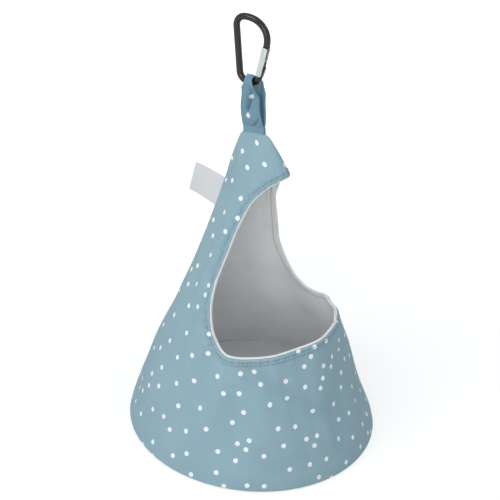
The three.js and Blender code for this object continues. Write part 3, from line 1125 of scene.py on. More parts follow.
@dataclass(frozen=True)
class Opening:
    """The opening's edge, cut square through the bag from its side."""

    form: BagForm
    waist: tuple[float, float] = (15.2, 143.0)
    dip: tuple[float, float] = (-12.0, 94.0)
    rim_height: float = 104.0
    hood_shares: tuple[tuple[float, float], ...] = ((0.9, 0.22), (0.86, 0.51))
    waist_shares: tuple[tuple[float, float], ...] = ((0.0, 0.51), (0.45, 1.0))
    rim_shares: tuple[tuple[float, float], ...] = ((0.21, 0.0), (0.69, 0.66))
    samples: int = 900

    def outline(self, margin: float) -> Array:
        """Draws the edge from the side.

        Args:
            margin: How far it is cut past the lining's edge.

        Returns:
            Its points in Y and Z, from the hood's point to the front rim.
        """
        front = float(self.form.front(np.array([self.rim_height]))[0])
        tip = np.array([-self.form.tip_reach, self.form.tip_height + margin])
        waist = np.array([self.waist[0] + margin, self.waist[1]])
        dip = np.array([self.dip[0], self.dip[1] - margin])
        rim = np.array([front, self.rim_height - margin])
        t = 0.5 - 0.5 * np.cos(np.linspace(0, math.pi, self.samples))[:, None]
        stretches = (
            (tip, waist, self.hood_shares),
            (waist, dip, self.waist_shares),
            (dip, rim, self.rim_shares),
        )
        parts = [
            bezier(t, start, *(mix(start, end, np.array(share)) for share in shares), end)
            for start, end, shares in stretches
        ]
        run = rim + (rim - dip) / abs(rim[0] - dip[0]) * np.linspace(0, 4, 200)[:, None]
        return np.concatenate([*parts, run])

    def half_edge(self, margin: float, inset: float) -> tuple[Array, Array, Array]:
        """Puts the edge on the form, on the side of the negative turns.

        Args:
            margin: How far it is cut past the lining's edge.
            inset: How far the cloth's surface is drawn in.

        Returns:
            The turns, the levels, and the length along the edge from the hood's point.
        """
        line = self.outline(margin)
        level = line[:, 1].copy()
        for _ in range(6):
            lift = np.maximum(level - self.form.tip_height, 0) / self.form.tip_drop
            level = line[:, 1] + math.tan(self.form.seam_tilt) * (line[:, 0] - self.form.top_setback) * lift
        front = self.form.bare_point(np.zeros_like(level), level, inset)[:, 1]
        back = self.form.bare_point(np.full_like(level, math.pi), level, inset)[:, 1]
        share = ((front + back) / 2 - line[:, 0]) / ((back - front) / 2)
        inside = np.nonzero(share < 1.0)[0]
        first, last = inside[0], inside[-1]
        turn = -np.arccos(np.clip(share[first : last + 1], -1, 1))
        level = level[first : last + 1]
        turn[0] = turn[-1] = 0.0
        length = run_of(self.form.bare_point(turn, level, inset))
        keep = np.concatenate([[True], np.diff(length) > 1e-6])
        return turn[keep], level[keep], length[keep]


@dataclass(frozen=True)
class ClothGrid:
    """Rings of cloth from the opening's edge out to the base, the top and the back seam."""

    form: BagForm
    opening: Opening
    margin: float
    inset: float
    bottom: float
    top: float
    columns: tuple[int, int, int] = (40, 74, 110)
    near_rows: int = 15
    far_rows: int = 46
    near_reach: float = 6.0
    turn_limit: float = 0.62
    corner_ease: float = 0.8
    pull: float = 0.55
    upper_level: float = 207.0
    lower_turn: float = math.radians(80.0)
    lower_level: float = 98.0

    @property
    def size(self) -> tuple[int, int]:
        """How many faces the grid has round the opening and away from it."""
        return 2 * sum(self.columns), self.near_rows + self.far_rows

    def edge_at(self, share: Array) -> tuple[Array, Array, Array]:
        """Gives the opening's edge at shares of the whole way round.

        Args:
            share: From 0 at the hood's point, by the negative turns, back to 1.

        Returns:
            The turns, the levels, and where each share's line ends on the outer
            boundary, as a number from 0 to 3.
        """
        turn, level, length = self.opening.half_edge(self.margin, self.inset)
        knots = np.cumsum([0, *self.columns])
        stage = np.where(share <= 0.5, share, 1.0 - share) * 2.0 * knots[-1]
        upper = np.argmin(np.abs(level - self.upper_level) + 50.0 * (turn > -1.0))
        lower = np.argmin(np.abs(turn + self.lower_turn) + 0.02 * np.abs(level - self.lower_level))
        run = np.interp(stage, knots, [0.0, length[upper], length[lower], length[-1]])
        outer = np.interp(stage, knots, range(4))
        return np.interp(run, length, turn), np.interp(run, length, level), outer

    def lay(self, share: Array, row: Array) -> tuple[Array, Array]:
        """Gives every grid point's turn and level.

        Args:
            share: Each point's share of the way round the opening.
            row: Each point's share of the way out.

        Returns:
            The turns and the levels.
        """
        around, rows = self.size
        ring = np.arange(around + 1) / around
        turn, level, outer = self.edge_at(ring)
        side = np.where(ring <= 0.5, 1.0, -1.0)
        turn = turn * side

        def placed(more_turn: float, more_level: float) -> Array:
            """Returns places on the form beside the edge."""
            return self.form.bare_point(turn + more_turn, level + more_level, self.inset)

        spots = placed(0.0, 0.0)
        tangent = headings(spots[-2:-1], spots, spots[1:2])
        into = unit(np.cross(tangent, self.form.normal(turn, level, self.inset)))
        if into[around // 2, 2] > 0:
            into = -into
        step_turn = (placed(1e-3, 0.0) - placed(-1e-3, 0.0)) / 2e-3
        step_level = (placed(0.0, 0.05) - placed(0.0, -0.05)) / 0.1
        steps = np.stack([step_turn, step_level], axis=1)
        products = steps @ steps.transpose(0, 2, 1)
        go_turn, go_level = np.linalg.solve(products, steps @ into[:, :, None])[:, :, 0].T
        limit = self.turn_limit * np.abs(turn) / self.near_reach
        towards = np.sign(go_turn) == -np.sign(turn)
        go_turn = np.where(towards, np.clip(go_turn, -limit, limit), go_turn)
        near_turn = turn + go_turn * self.near_reach
        near_level = level + go_level * self.near_reach
        end_turn = np.interp(outer, [0, 1, 2, 3], [0, -math.pi, -math.pi, 0]) * side
        down = np.clip(outer - 1.0, 0.0, 1.0)
        down = down - self.corner_ease * np.sin(2 * math.pi * down) / (2 * math.pi)
        end_level = mix(self.top, self.bottom, down)
        across = (end_turn - near_turn) * self.form.half(near_level)
        pull = self.pull * np.hypot(across, end_level - near_level)
        column = np.rint(share * around).astype(int)
        step = np.rint(row * rows)
        close = np.minimum(step / self.near_rows, 1.0)
        far = np.clip((step - self.near_rows) / self.far_rows, 0.0, 1.0)
        left = 1.0 - far
        early = 0.25 * far + 0.75 * far * far * (3 - 2 * far)
        s = np.where(far < 0.5, early, 1 - 0.625 * left - 0.75 * left * left)
        h10 = s * (1 - s) ** 2
        blend = s * s * (3 - 2 * s)
        laid_turn = mix(turn[column], near_turn[column], close)
        laid_level = mix(level[column], near_level[column], close)
        laid_turn = laid_turn + (end_turn - near_turn)[column] * blend + h10 * (go_turn * pull)[column]
        laid_level = laid_level + (end_level - near_level)[column] * blend + h10 * (go_level * pull)[column]
        return laid_turn, laid_level

    def edge_distance(self, turn: Array, level: Array) -> Array:
        """Measures how far places on the form lie from the opening's edge.

        Args:
            turn: Angles from the front.
            level: Levels.

        Returns:
            The distances in millimetres, right up to about 12 and no less past that.
        """
        edge_turn, edge_level, length = self.opening.half_edge(self.margin, self.inset)
        run = np.linspace(0, length[-1], 700)
        turns, levels = np.interp(run, length, edge_turn), np.interp(run, length, edge_level)
        line = self.form.bare_point(turns, levels, self.inset)
        line = np.concatenate([line, line[1:-1] * np.array([-1.0, 1.0, 1.0])])
        spots = self.form.bare_point(turn, level, self.inset)
        nearest = np.full(len(spots), 1e9)
        for start in range(0, len(spots), 2000):
            part = spots[start : start + 2000]
            gap = np.linalg.norm(part[:, None, :] - line[None, :, :], axis=2)
            nearest[start : start + 2000] = gap.min(axis=1)
        return nearest


# The cloth parts of the bag.
@dataclass
class ClothBody:
    """The dotted outer cloth, the lining and what is sewn along their edge."""

    form: BagForm = field(default_factory=BagForm)
    outer_thickness: float = 0.9
    lining_thickness: float = 0.8
    round_thickness: float = 0.6
    lining_inset: float = 1.35
    lining_floor: float = 3.7
    outer_bottom: float = -2.4
    edge_length: float = 560.0
    lining_top: float = 241.0
    lip: float = 0.6
    stitch_line: float = 3.0
    stitch_pitch: float = 2.9
    stitch_length: float = 2.3
    stitch_width: float = 0.42
    roll_radius: float = 0.47
    roll_inset: float = 0.72
    roll_margin: float = 0.3
    roll_steps: tuple[int, int] = (520, 12)
    roll_girth: float = 5.0
    base_reach: float = 97.6
    floor_reach: float = 95.0
    flat_centre: float = 0.4
    dotted: DottedCloth = field(default_factory=DottedCloth)
    pale: LiningCloth = field(default_factory=LiningCloth)
    thread: Thread = field(default_factory=Thread)

    @property
    def opening(self) -> Opening:
        """The opening's edge."""
        return Opening(self.form)

    def axis(self, spots: Array) -> Array:
        """Returns the nearest places on the bag's middle line, in metres."""
        share = np.clip(spots[:, 2] / (self.form.height * MM), 0, 0.96)
        return np.stack([spots[:, 0] * 0, share * self.form.top_setback * MM, spots[:, 2] * 0.9], axis=-1)

    def hem(self, distance: Array, run: Array) -> Array:
        """Gives the hem's own relief along the opening.

        Args:
            distance: From the edge, in millimetres.
            run: Round the opening, in radians.

        Returns:
            Millimetres outwards.
        """
        doubled = 0.5 * (1 - smooth(4.6, 5.8, distance))
        stitched = -0.38 * hump((distance - self.stitch_line) / 0.7)
        pucker = np.sin(run * 61 + 2.4 * np.sin(run * 9)) + 0.7 * np.sin(run * 97 + 1.9 * np.sin(run * 13))
        pucker = pucker * hump((distance - 4.4) / 3.2)
        rounded = -0.5 * (1 - smooth(0.0, 0.9, distance))
        return doubled + stitched + rounded + 0.24 * pucker

    def make_outer(self) -> Piece:
        """Makes the dotted outer cloth."""
        grid = ClothGrid(self.form, self.opening, self.lip, 0.0, self.outer_bottom, self.form.height)
        return self.make_cloth("outer_cloth", grid, self.outer_thickness, 1.0)

    def make_lining(self) -> Piece:
        """Makes the pale lining, on a coarser grid."""
        place = (0.0, self.lining_inset, self.lining_floor, self.lining_top)
        grid = ClothGrid(self.form, self.opening, *place, columns=(26, 50, 80), near_rows=12, far_rows=30)
        return self.make_cloth("lining_cloth", grid, self.lining_thickness, -0.5)

    def make_cloth(self, name: str, grid: ClothGrid, thickness: float, raised: float) -> Piece:
        """Makes one of the two cloths from its rings.

        Args:
            name: The piece's name.
            grid: Its rings.
            thickness: The cloth's thickness.
            raised: How far the hem stands out of it.

        Returns:
            The piece, not yet dressed.
        """
        cut = FlatCut(self.form)
        kept: dict[str, Array] = {}

        def place(across: Array, along: Array) -> Array:
            """Places the grid's points on the cloth and keeps what they carry.

            Args:
                across: Shares of the way round the opening.
                along: Shares of the way out.

            Returns:
                The points, in millimetres.
            """
            turn, level = grid.lay(across, along)
            edge = grid.edge_distance(turn, level)
            run = 0.5 * self.edge_length * (1.0 - np.abs(1.0 - 2.0 * across))
            kept.update(edge_mm=edge, run_mm=run, flat=cut.spread(turn, level))
            return self.form.point(turn, level, grid.inset, raised * self.hem(edge, across * 2 * math.pi))

        piece = formed_grid(name, grid.size, place, lambda across, along: kept["flat"])
        for key in ("edge_mm", "run_mm"):
            made = piece.data.attributes.new(key, "FLOAT", "POINT")
            made.data.foreach_set("value", kept[key].astype(np.float32))
        weld(piece)
        face_from(piece, self.axis)
        thicken(piece, thickness, Side.INSIDE)
        soften(piece, 60.0)
        spread = read(piece.data.uv_layers[0].data, "uv", 2)
        wide, high = (float(v) for v in spread.max(axis=0) - spread.min(axis=0))
        parts = [(face.loop_start, face.loop_start + face.loop_total) for face in piece.data.polygons]
        corners = [spread[start:end] for start, end in parts]
        turned = [c[:, 0] @ np.roll(c[:, 1], -1) - c[:, 1] @ np.roll(c[:, 0], -1) for c in corners]
        area = 0.25 * float(np.abs(turned).sum())
        log.info("%s: cut from %.3f by %.3f m, %.4f square metres", name, wide, high, area)
        return piece

    def edge_line(self, margin: float, inset: float, count: int, into: float = 0.0) -> tuple[Array, Array]:
        """Follows the opening round, at an even pace.

        Args:
            margin: Where the edge is cut.
            inset: How far the surface is drawn in.
            count: How many points are wanted.
            into: How far away from the opening the line lies.

        Returns:
            The turns and levels of its points, without the last that meets the first.
        """
        turn, level, length = self.opening.half_edge(margin + into, inset)
        total = 2 * length[-1]
        run = np.arange(count) / count * total
        half = np.where(run <= length[-1], run, total - run)
        side = np.where(run <= length[-1], 1.0, -1.0)
        return np.interp(half, length, turn) * side, np.interp(half, length, level)

    def make_roll(self) -> Piece:
        """Makes the white roll where the lining is turned over the edge.

        Returns:
            The piece, not yet dressed.
        """
        count = self.roll_steps[0]
        turn, level = self.edge_line(self.roll_margin, self.roll_inset, count)
        centre = self.form.point(turn, level, self.roll_inset)
        tangent = headings(centre[-1:], centre, centre[:1])
        outward = self.form.normal(turn, level, self.roll_inset)
        aside = unit(np.cross(tangent, outward))
        outward = unit(np.cross(aside, tangent))

        def place(across: Array, along: Array) -> Array:
            """Places the roll's points round its line.

            Args:
                across: Shares of the way round the opening.
                along: Shares of the way round the roll.

            Returns:
                The points, in millimetres.
            """
            index = np.rint(across * count).astype(int) % count
            angle = along * 2 * math.pi
            swell = 1 + 0.07 * np.sin(index * 2 * math.pi / count * 61 + 2 * np.sin(index * 0.11))
            reach = self.roll_radius * swell
            return (
                centre[index]
                + outward[index] * (1.25 * reach * np.sin(angle))[:, None]
                + aside[index] * (1.08 * reach * np.cos(angle))[:, None]
            )

        def flat(across: Array, along: Array) -> Array:
            """Gives the roll's flat coordinates."""
            return np.stack([across * self.edge_length, along * self.roll_girth], axis=-1)

        piece = formed_grid("rim_roll", self.roll_steps, place, flat)
        weld(piece, 0.004)
        soften(piece, 80.0)
        return piece

    def stitch_model(self, length: float, width: float) -> Piece:
        """Models one stitch, a small rounded bar.

        Args:
            length: Its length, along X.
            width: Its thickness.

        Returns:
            The bar, at the origin.
        """
        ball = {"segments": 6, "ring_count": 5, "radius": 0.5 * width * MM}
        bar = added("stitch", bpy.ops.mesh.primitive_uv_sphere_add, **ball)
        points = points_of(bar)[:, [2, 0, 1]]
        points[:, 0] += np.sign(np.round(points[:, 0], 6)) * 0.5 * (length - width) * MM
        points[:, 2] -= (points[:, 0] / (0.5 * length * MM)) ** 2 * 0.3 * width * MM
        move_points(bar, points)
        return bar

    def stitch_frames(self, centre: Array, ahead: Array, outward: Array) -> Array:
        """Gives the placing of stitches.

        Args:
            centre: Where each one lies, in millimetres.
            ahead: Which way each one runs.
            outward: Which way is up on the cloth.

        Returns:
            One 3 by 4 matrix for each stitch, in metres.
        """
        ahead = unit(ahead)
        aside = unit(np.cross(outward, ahead))
        return np.stack([ahead, aside, np.cross(ahead, aside), centre * MM], axis=-1)

    def make_stitches(self) -> Piece:
        """Makes the row of stitching along the opening.

        Returns:
            The piece, not yet dressed.
        """
        count = int(self.edge_length / self.stitch_pitch)
        turn, level = self.edge_line(self.lip, 0.0, count, self.stitch_line)
        centre = self.form.point(turn, level, 0.0, 0.12)
        ahead = np.roll(centre, -1, axis=0) - np.roll(centre, 1, axis=0)
        frames = self.stitch_frames(centre, ahead, self.form.normal(turn, level, 0.0))
        return copied("bag_stitches", self.stitch_model(self.stitch_length, self.stitch_width), frames)

    def make_round(
        self, name: str, radius: float, rings: tuple[float, ...], height: Place, down: bool
    ) -> Piece:
        """Makes a round of cloth for the base.

        Args:
            name: The piece's name.
            radius: Its radius.
            rings: How wide its rings are, from the outside in.
            height: Gives the heights of places from their reach and their angle.
            down: Whether its right side is underneath.

        Returns:
            The piece, not yet dressed.
        """
        disc = {"vertices": 132, "radius": radius * MM, "fill_type": "NGON"}
        piece = added(name, bpy.ops.mesh.primitive_circle_add, **disc)
        insets = [partial(bpy.ops.mesh.inset, thickness=ring * MM, depth=0.0) for ring in rings]
        edit_all(piece, *insets, bpy.ops.mesh.poke)
        points = points_of(piece) / MM
        points[:, 2] = height(np.hypot(points[:, 0], points[:, 1]), np.arctan2(points[:, 1], points[:, 0]))
        move_points(piece, points * MM)
        set_flat(piece, points[:, :2] * MM + self.flat_centre)
        weld(piece, 0.004)
        face_from(piece, lambda spots: spots + np.array([0.0, 0.0, 0.01 if down else -0.01]))
        thicken(piece, self.round_thickness, Side.INSIDE)
        soften(piece, 60.0)
        return piece

    def make_base(self) -> Piece:
        """Makes the round of dotted cloth under the bag.

        Returns:
            The piece, not yet dressed.
        """

        def height(reach: Array, angle: Array) -> Array:
            """Gives its heights, puckered along its seam.

            Args:
                reach: Distances from the middle.
                angle: Angles round it.

            Returns:
                The heights.
            """
            pucker = 0.12 * np.sin(60 * angle) * hump((reach - 95.0) / 2.5)
            lifted = 0.35 + 0.75 * smooth(95.6, self.base_reach, reach)
            return lifted + np.abs(pucker) + 0.1 * np.cos(3 * angle) * (reach / 100) ** 2

        rings = (0.5, 0.7, 1.0, 3.0, 8.0, 14.0, 20.0, 20.0, 15.0)
        return self.make_round("base_cloth", self.base_reach, rings, height, True)

    def make_floor(self) -> Piece:
        """Makes the lining's round inside the base, which lies a little uneven.

        Returns:
            The piece, not yet dressed.
        """

        def height(reach: Array, angle: Array) -> Array:
            """Gives its heights, turned up along its seam.

            Args:
                reach: Distances from the middle.
                angle: Angles round it.

            Returns:
                The heights.
            """
            waves = 0.25 * np.sin(5 * angle + 0.05 * reach) + 0.2 * np.sin(9 * angle - 0.08 * reach)
            waves = waves * smooth(8, 50, reach) * (1 - smooth(84, 92, reach))
            return 4.7 + 1.1 * smooth(90.0, self.floor_reach, reach) + waves

        rings = (0.8, 1.0, 1.5, 3.0, 6.0, 10.0, 12.0, 14.0, 14.0, 14.0, 10.0)
        return self.make_round("floor_lining", self.floor_reach, rings, height, False)

    def build(self) -> None:
        """Makes and dresses every cloth part of the bag."""
        white = LiningCloth("rim_cloth", base=colour(250, 250, 250), shadow=colour(240, 240, 240))
        dotted, lining = Slot.DOTTED, Slot.LINING
        for make, material, slot, nodes in (
            (self.make_outer, self.dotted.make(hem=True), dotted, ("outer_body",)),
            (self.make_lining, self.pale.make(hem=True), lining, ("body_lining",)),
            (self.make_roll, white.make(), lining, ()),
            (self.make_stitches, self.thread.make(), dotted, ()),
            (self.make_base, DottedCloth("base_cloth").make(), dotted, ("outer_base",)),
            (self.make_floor, self.pale.make(), lining, ("base_lining",)),
        ):
            finish_piece(make(), material, Body.BAG, slot, nodes)
        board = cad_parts["base_stiffener"]
        board.data.materials.clear()
        board.data.materials.append(BoardFinish().make())


@dataclass
class Label:
    """The bare ribbon label, folded double and sewn into the back seam."""

    form: BagForm = field(default_factory=BagForm)
    width: float = 27.0
    height: float = 27.0
    drop: float = 33.0
    layer: float = 0.34
    gap: float = 0.12
    sunk: float = 1.2
    finish: RibbonCloth = field(default_factory=RibbonCloth)

    def seat(self) -> tuple[Array, Array, Array]:
        """Gives where the label leaves the seam.

        Returns:
            The middle of its root, the way out of the seam, and the way up it.
        """
        level = self.form.tip_height - self.drop + self.height * np.array([-0.5, 0.5])
        ends = self.form.point(np.full(2, math.pi), level, 0.0) * np.array([0.0, 1.0, 1.0])
        up = unit(ends[1] - ends[0])
        return ends.mean(axis=0), np.array([0.0, up[2], -up[1]]), up

    def make(self) -> None:
        """Makes the folded ribbon as one bent strip."""
        root, out, up = self.seat()
        fold = 0.5 * self.gap + 0.5 * self.layer
        length = 2 * (self.width + self.sunk) + math.pi * fold

        def place(across: Array, along: Array) -> Array:
            """Places the strip's points, out along one leaf and back along the other.

            Args:
                across: Shares of its length.
                along: Shares of its width.

            Returns:
                The points, in millimetres.
            """
            run = across * length
            leaf = self.width + self.sunk
            angle = np.clip((run - leaf) / fold, 0, math.pi)
            reach = np.where(run < leaf, run, np.where(run > leaf + math.pi * fold, length - run, leaf))
            reach = reach + fold * np.sin(angle) - self.sunk
            away = -fold * np.cos(angle)
            high = (along - 0.5) * self.height
            share = np.clip(reach / self.width, 0, 1)
            curl = 1.5 * share**2 * (1 + 0.5 * (along - 0.5)) - 1.1 * share * (1 - share)
            curl = curl + 0.9 * share * np.sin((along - 0.5) * 3.0 + 0.4)
            droop = -0.6 * share * share
            return (
                root
                + out * reach[:, None]
                + up * (high + droop)[:, None]
                + np.array([-1.0, 0.0, 0.0]) * (away * (1 + 0.5 * share) + curl)[:, None]
            )

        def flat(across: Array, along: Array) -> Array:
            """Gives the strip's flat coordinates."""
            return np.stack([across * length, along * self.height], axis=-1)

        piece = formed_grid("label_ribbon", (64, 22), place, flat)
        thicken(piece, self.layer, Side.BOTH)
        weld(piece, 0.001)
        soften(piece, 60.0)
        finish_piece(piece, self.finish.make(), Body.BAG, Slot.LABEL, ("side_label",))


@dataclass
class HangingLoop:
    """The cloth strap folded over the hook's lower bend."""

    form: BagForm = field(default_factory=BagForm)
    width: float = 18.0
    shoulder_width: float = 14.5
    fold_width: float = 7.4
    rise: float = 38.7
    thickness: float = 1.3
    bulge: float = 5.0
    roll: float = 1.8
    roll_height: float = 2.1
    fold_radius: float = 4.75
    shoulder_drop: float = 4.9
    offset: float = 0.8
    low_share: float = 0.25
    high_share: float = 0.75
    steps: int = 400
    rod_clear: float = 2.95
    bend_radius: float = 7.0
    bend_half: float = 1.5
    bend_levels: tuple[float, float, float] = (22.0, 0.3, 4.0)
    flat_place: tuple[float, float] = (231.0, 97.0)
    # The strap's cloth is the bag's print made darker: painted shade for a strap that stands steeper to the
    # light than the bag's wall.
    finish: DottedCloth = field(
        default_factory=lambda: DottedCloth(
            "loop_cloth",
            base=colour(117, 153, 172),
            faded=colour(130, 165, 182),
            groove=colour(74, 108, 128),
        )
    )
    thread: Thread = field(
        default_factory=lambda: Thread("loop_thread", base=colour(124, 158, 177), dark=colour(102, 136, 155))
    )

    def side_line(self, count: int) -> tuple[Array, Array, Array]:
        """Draws the strap's middle line from its foot, over the rod and down again.

        Args:
            count: How many points are wanted.

        Returns:
            The points in X and Z of the tilted frame, their outward directions, and
            the length run.
        """
        neck = self.roll_height + self.form.top_half_thickness + 0.3
        inner = 0.5 * self.thickness
        low = mix(self.roll_height, self.rise, self.low_share)
        high = mix(self.roll_height, self.rise, self.high_share)
        spread = self.bulge - inner
        top = self.fold_radius - inner
        foot = 0.5 * self.roll
        corners = ((foot, neck), (spread, low), (spread, high), (top, self.rise))
        wall = bezier(np.linspace(0, 1, 240)[:, None], *(np.array(corner) for corner in corners))
        turn = np.linspace(0, math.pi, 160)[1:-1]
        over = np.stack([top * np.cos(turn), self.rise + top * np.sin(turn)], axis=-1)
        climb = np.linspace(-0.9, neck, 40)
        start = np.stack([foot - 0.22 * (1 - smooth(0.2, 1.6, climb)), climb], axis=-1)[:-1]
        right = np.concatenate([start, wall])
        line = np.concatenate([right, over, right[::-1] * np.array([-1.0, 1.0])])
        line[:, 0] *= -1
        points, run = paced(line, count)
        ahead = headings(points[:1], points, points[-1:])
        outward = np.stack([-ahead[:, 1], ahead[:, 0]], axis=-1)
        if outward[count // 2, 1] < 0:
            outward = -outward
        return points, outward, run

    def half_width(self, height: Array) -> Array:
        """Gives half of the strap's width.

        Args:
            height: Heights in the tilted frame.

        Returns:
            The half widths.
        """
        shoulder = self.rise - self.shoulder_drop
        straight = mix(self.width / 2, self.shoulder_width / 2, np.clip(height / shoulder, 0, 1))
        gather = smooth(shoulder + 1.2, self.rise + 3.0, height)
        return mix(straight, self.fold_width / 2, gather)

    def place_strap(self, across: Array, along: Array, lift: float = 0.0) -> Array:
        """Places points on the strap.

        Args:
            across: Shares of the way over the rod, from foot to foot.
            along: Shares of its width, from the front edge to the back one.
            lift: A further outward distance.

        Returns:
            The points in the part's frame.
        """
        points, outward, _ = self.side_line(self.steps + 1)
        share = across * self.steps
        index = np.clip(np.floor(share).astype(int), 0, self.steps - 1)
        part = (share - index)[:, None]
        spot = mix(points[index], points[index + 1], part)
        away = unit(mix(outward[index], outward[index + 1], part))
        height = spot[:, 1]
        side = np.where(across < 0.5, -1.0, 1.0)
        w = (along - 0.5) * 2
        near_top = smooth(self.rise - 12, self.rise - 1, height)
        middle = smooth(3.5, 12, height) * (1 - smooth(self.rise - 9, self.rise - 2, height))
        middle_line = -1.5 * smooth(18, 32, height) + 1.4 * smooth(self.rise - 2, self.rise + 3, height)
        drawn_in = np.where(w < 0, 0.4, 0.05) * smooth(28, 36, height)
        y = middle_line + w * self.half_width(height) * (1 - drawn_in)
        past = np.clip(np.abs(y - self.offset) - self.bend_half, 0, 3.9)
        clear = self.bend_radius - np.sqrt((self.bend_radius - self.rod_clear) ** 2 - past**2)
        saddle = (clear - self.rod_clear) * near_top
        gathers = 0.32 * near_top * np.cos(w * 3.4 * math.pi + 0.6 * side) * (1 - 0.5 * near_top)
        across_side = w * -side
        # A valley that climbs to the fold, a ridge beside it, a short valley at the foot, and two swells.
        above = height - 17.0
        valley = (across_side - 0.25 + above * 0.033) / (0.15 + 0.011 * np.clip(above, 0, 18))
        crease = -3.5 * hump(valley) * smooth(13, 20, height) * (1 - smooth(33.5, 38.0, height))
        crease = crease + 0.8 * hump((across_side - 0.52) / 0.16) * smooth(16, 24, height) * middle
        foot = (across_side - 0.05 + (height - 3.8) * 0.108) / 0.13
        crease = crease - 1.5 * hump(foot) * smooth(2.5, 5.5, height) * (1 - smooth(9, 15, height))
        crease = crease + 1.1 * hump((across_side + 0.3) / 0.5) * hump((height - 12.0) / 6.0)
        crease = crease + np.where(side > 0, 1.5, 0.0) * hump((height - 15.0) / 8.0)
        cup = -0.5 * (w * w) * middle
        hem = 0.3 * hump((1 - np.abs(w)) / 0.16) * middle
        relief = np.maximum(crease * (1 - 0.85 * w**6) + cup, 0.8 - np.abs(spot[:, 0]))
        relief = relief + gathers + saddle + hem + lift
        relief = np.where(height < 4.8, np.clip(relief, lift - 0.3, lift), relief)
        x = spot[:, 0] + away[:, 0] * relief
        z = height + away[:, 1] * relief
        z = z + 0.25 * np.sin(w * 5.0 + 1.0) * middle * np.clip(height / self.rise, 0, 1)
        return self.form.tilted(np.stack([x, y, z], axis=-1))

    def make(self) -> None:
        """Makes the strap as one bent band with rounded edges."""
        points, _, run = self.side_line(self.steps + 1)
        length = float(run[-1])

        def flat(across: Array, along: Array) -> Array:
            """Gives the band's flat coordinates.

            Args:
                across: Shares of its length.
                along: Shares of its width.

            Returns:
                The coordinates, in millimetres.
            """
            spot = np.interp(across * self.steps, np.arange(len(points)), points[:, 1])
            wide = np.maximum(self.half_width(spot), 0.7 * self.width / 2)
            return np.stack([(along - 0.5) * 2 * wide, across * length], axis=-1) + self.flat_place

        piece = formed_grid("loop_cloth", (220, 32), self.place_strap, flat)
        inside, start, end = (self.form.tilted(np.array([0.0, 0.0, z])) for z in self.bend_levels)
        face_from(piece, lambda spots: np.broadcast_to(inside * MM, spots.shape))
        thicken(piece, self.thickness, Side.BOTH)
        round_edges(piece, 0.35, 2, 1.0)
        soften(piece, 60.0)
        bend = (Body.BAG, start, end)
        # The strap is dressed in the darker copy of the print, which paints its shade.
        finish_piece(piece, self.finish.make(), Body.LOOP, Slot.DOTTED, ("hanging_loop",), bend)

    def make_stitches(self, sewing: ClothBody) -> None:
        """Makes the rows of stitching along the strap's two edges.

        Args:
            sewing: The bag's cloth, whose stitch is used.
        """
        rows = []
        for edge in (0.085, 0.915):
            across = np.concatenate([np.linspace(0.09, 0.37, 12), np.linspace(0.63, 0.91, 12)])
            along = np.full_like(across, edge)
            centre = self.place_strap(across, along, 0.5 * self.thickness)
            inner = self.place_strap(across, along, 0.0)
            ahead = self.place_strap(across + 0.01, along) - self.place_strap(across - 0.01, along)
            rows.append(sewing.stitch_frames(centre, ahead, unit(centre - inner)))
        piece = copied("loop_stitches", sewing.stitch_model(1.9, 0.32), np.concatenate(rows))
        finish_piece(piece, self.thread.make(), Body.LOOP, Slot.DOTTED)


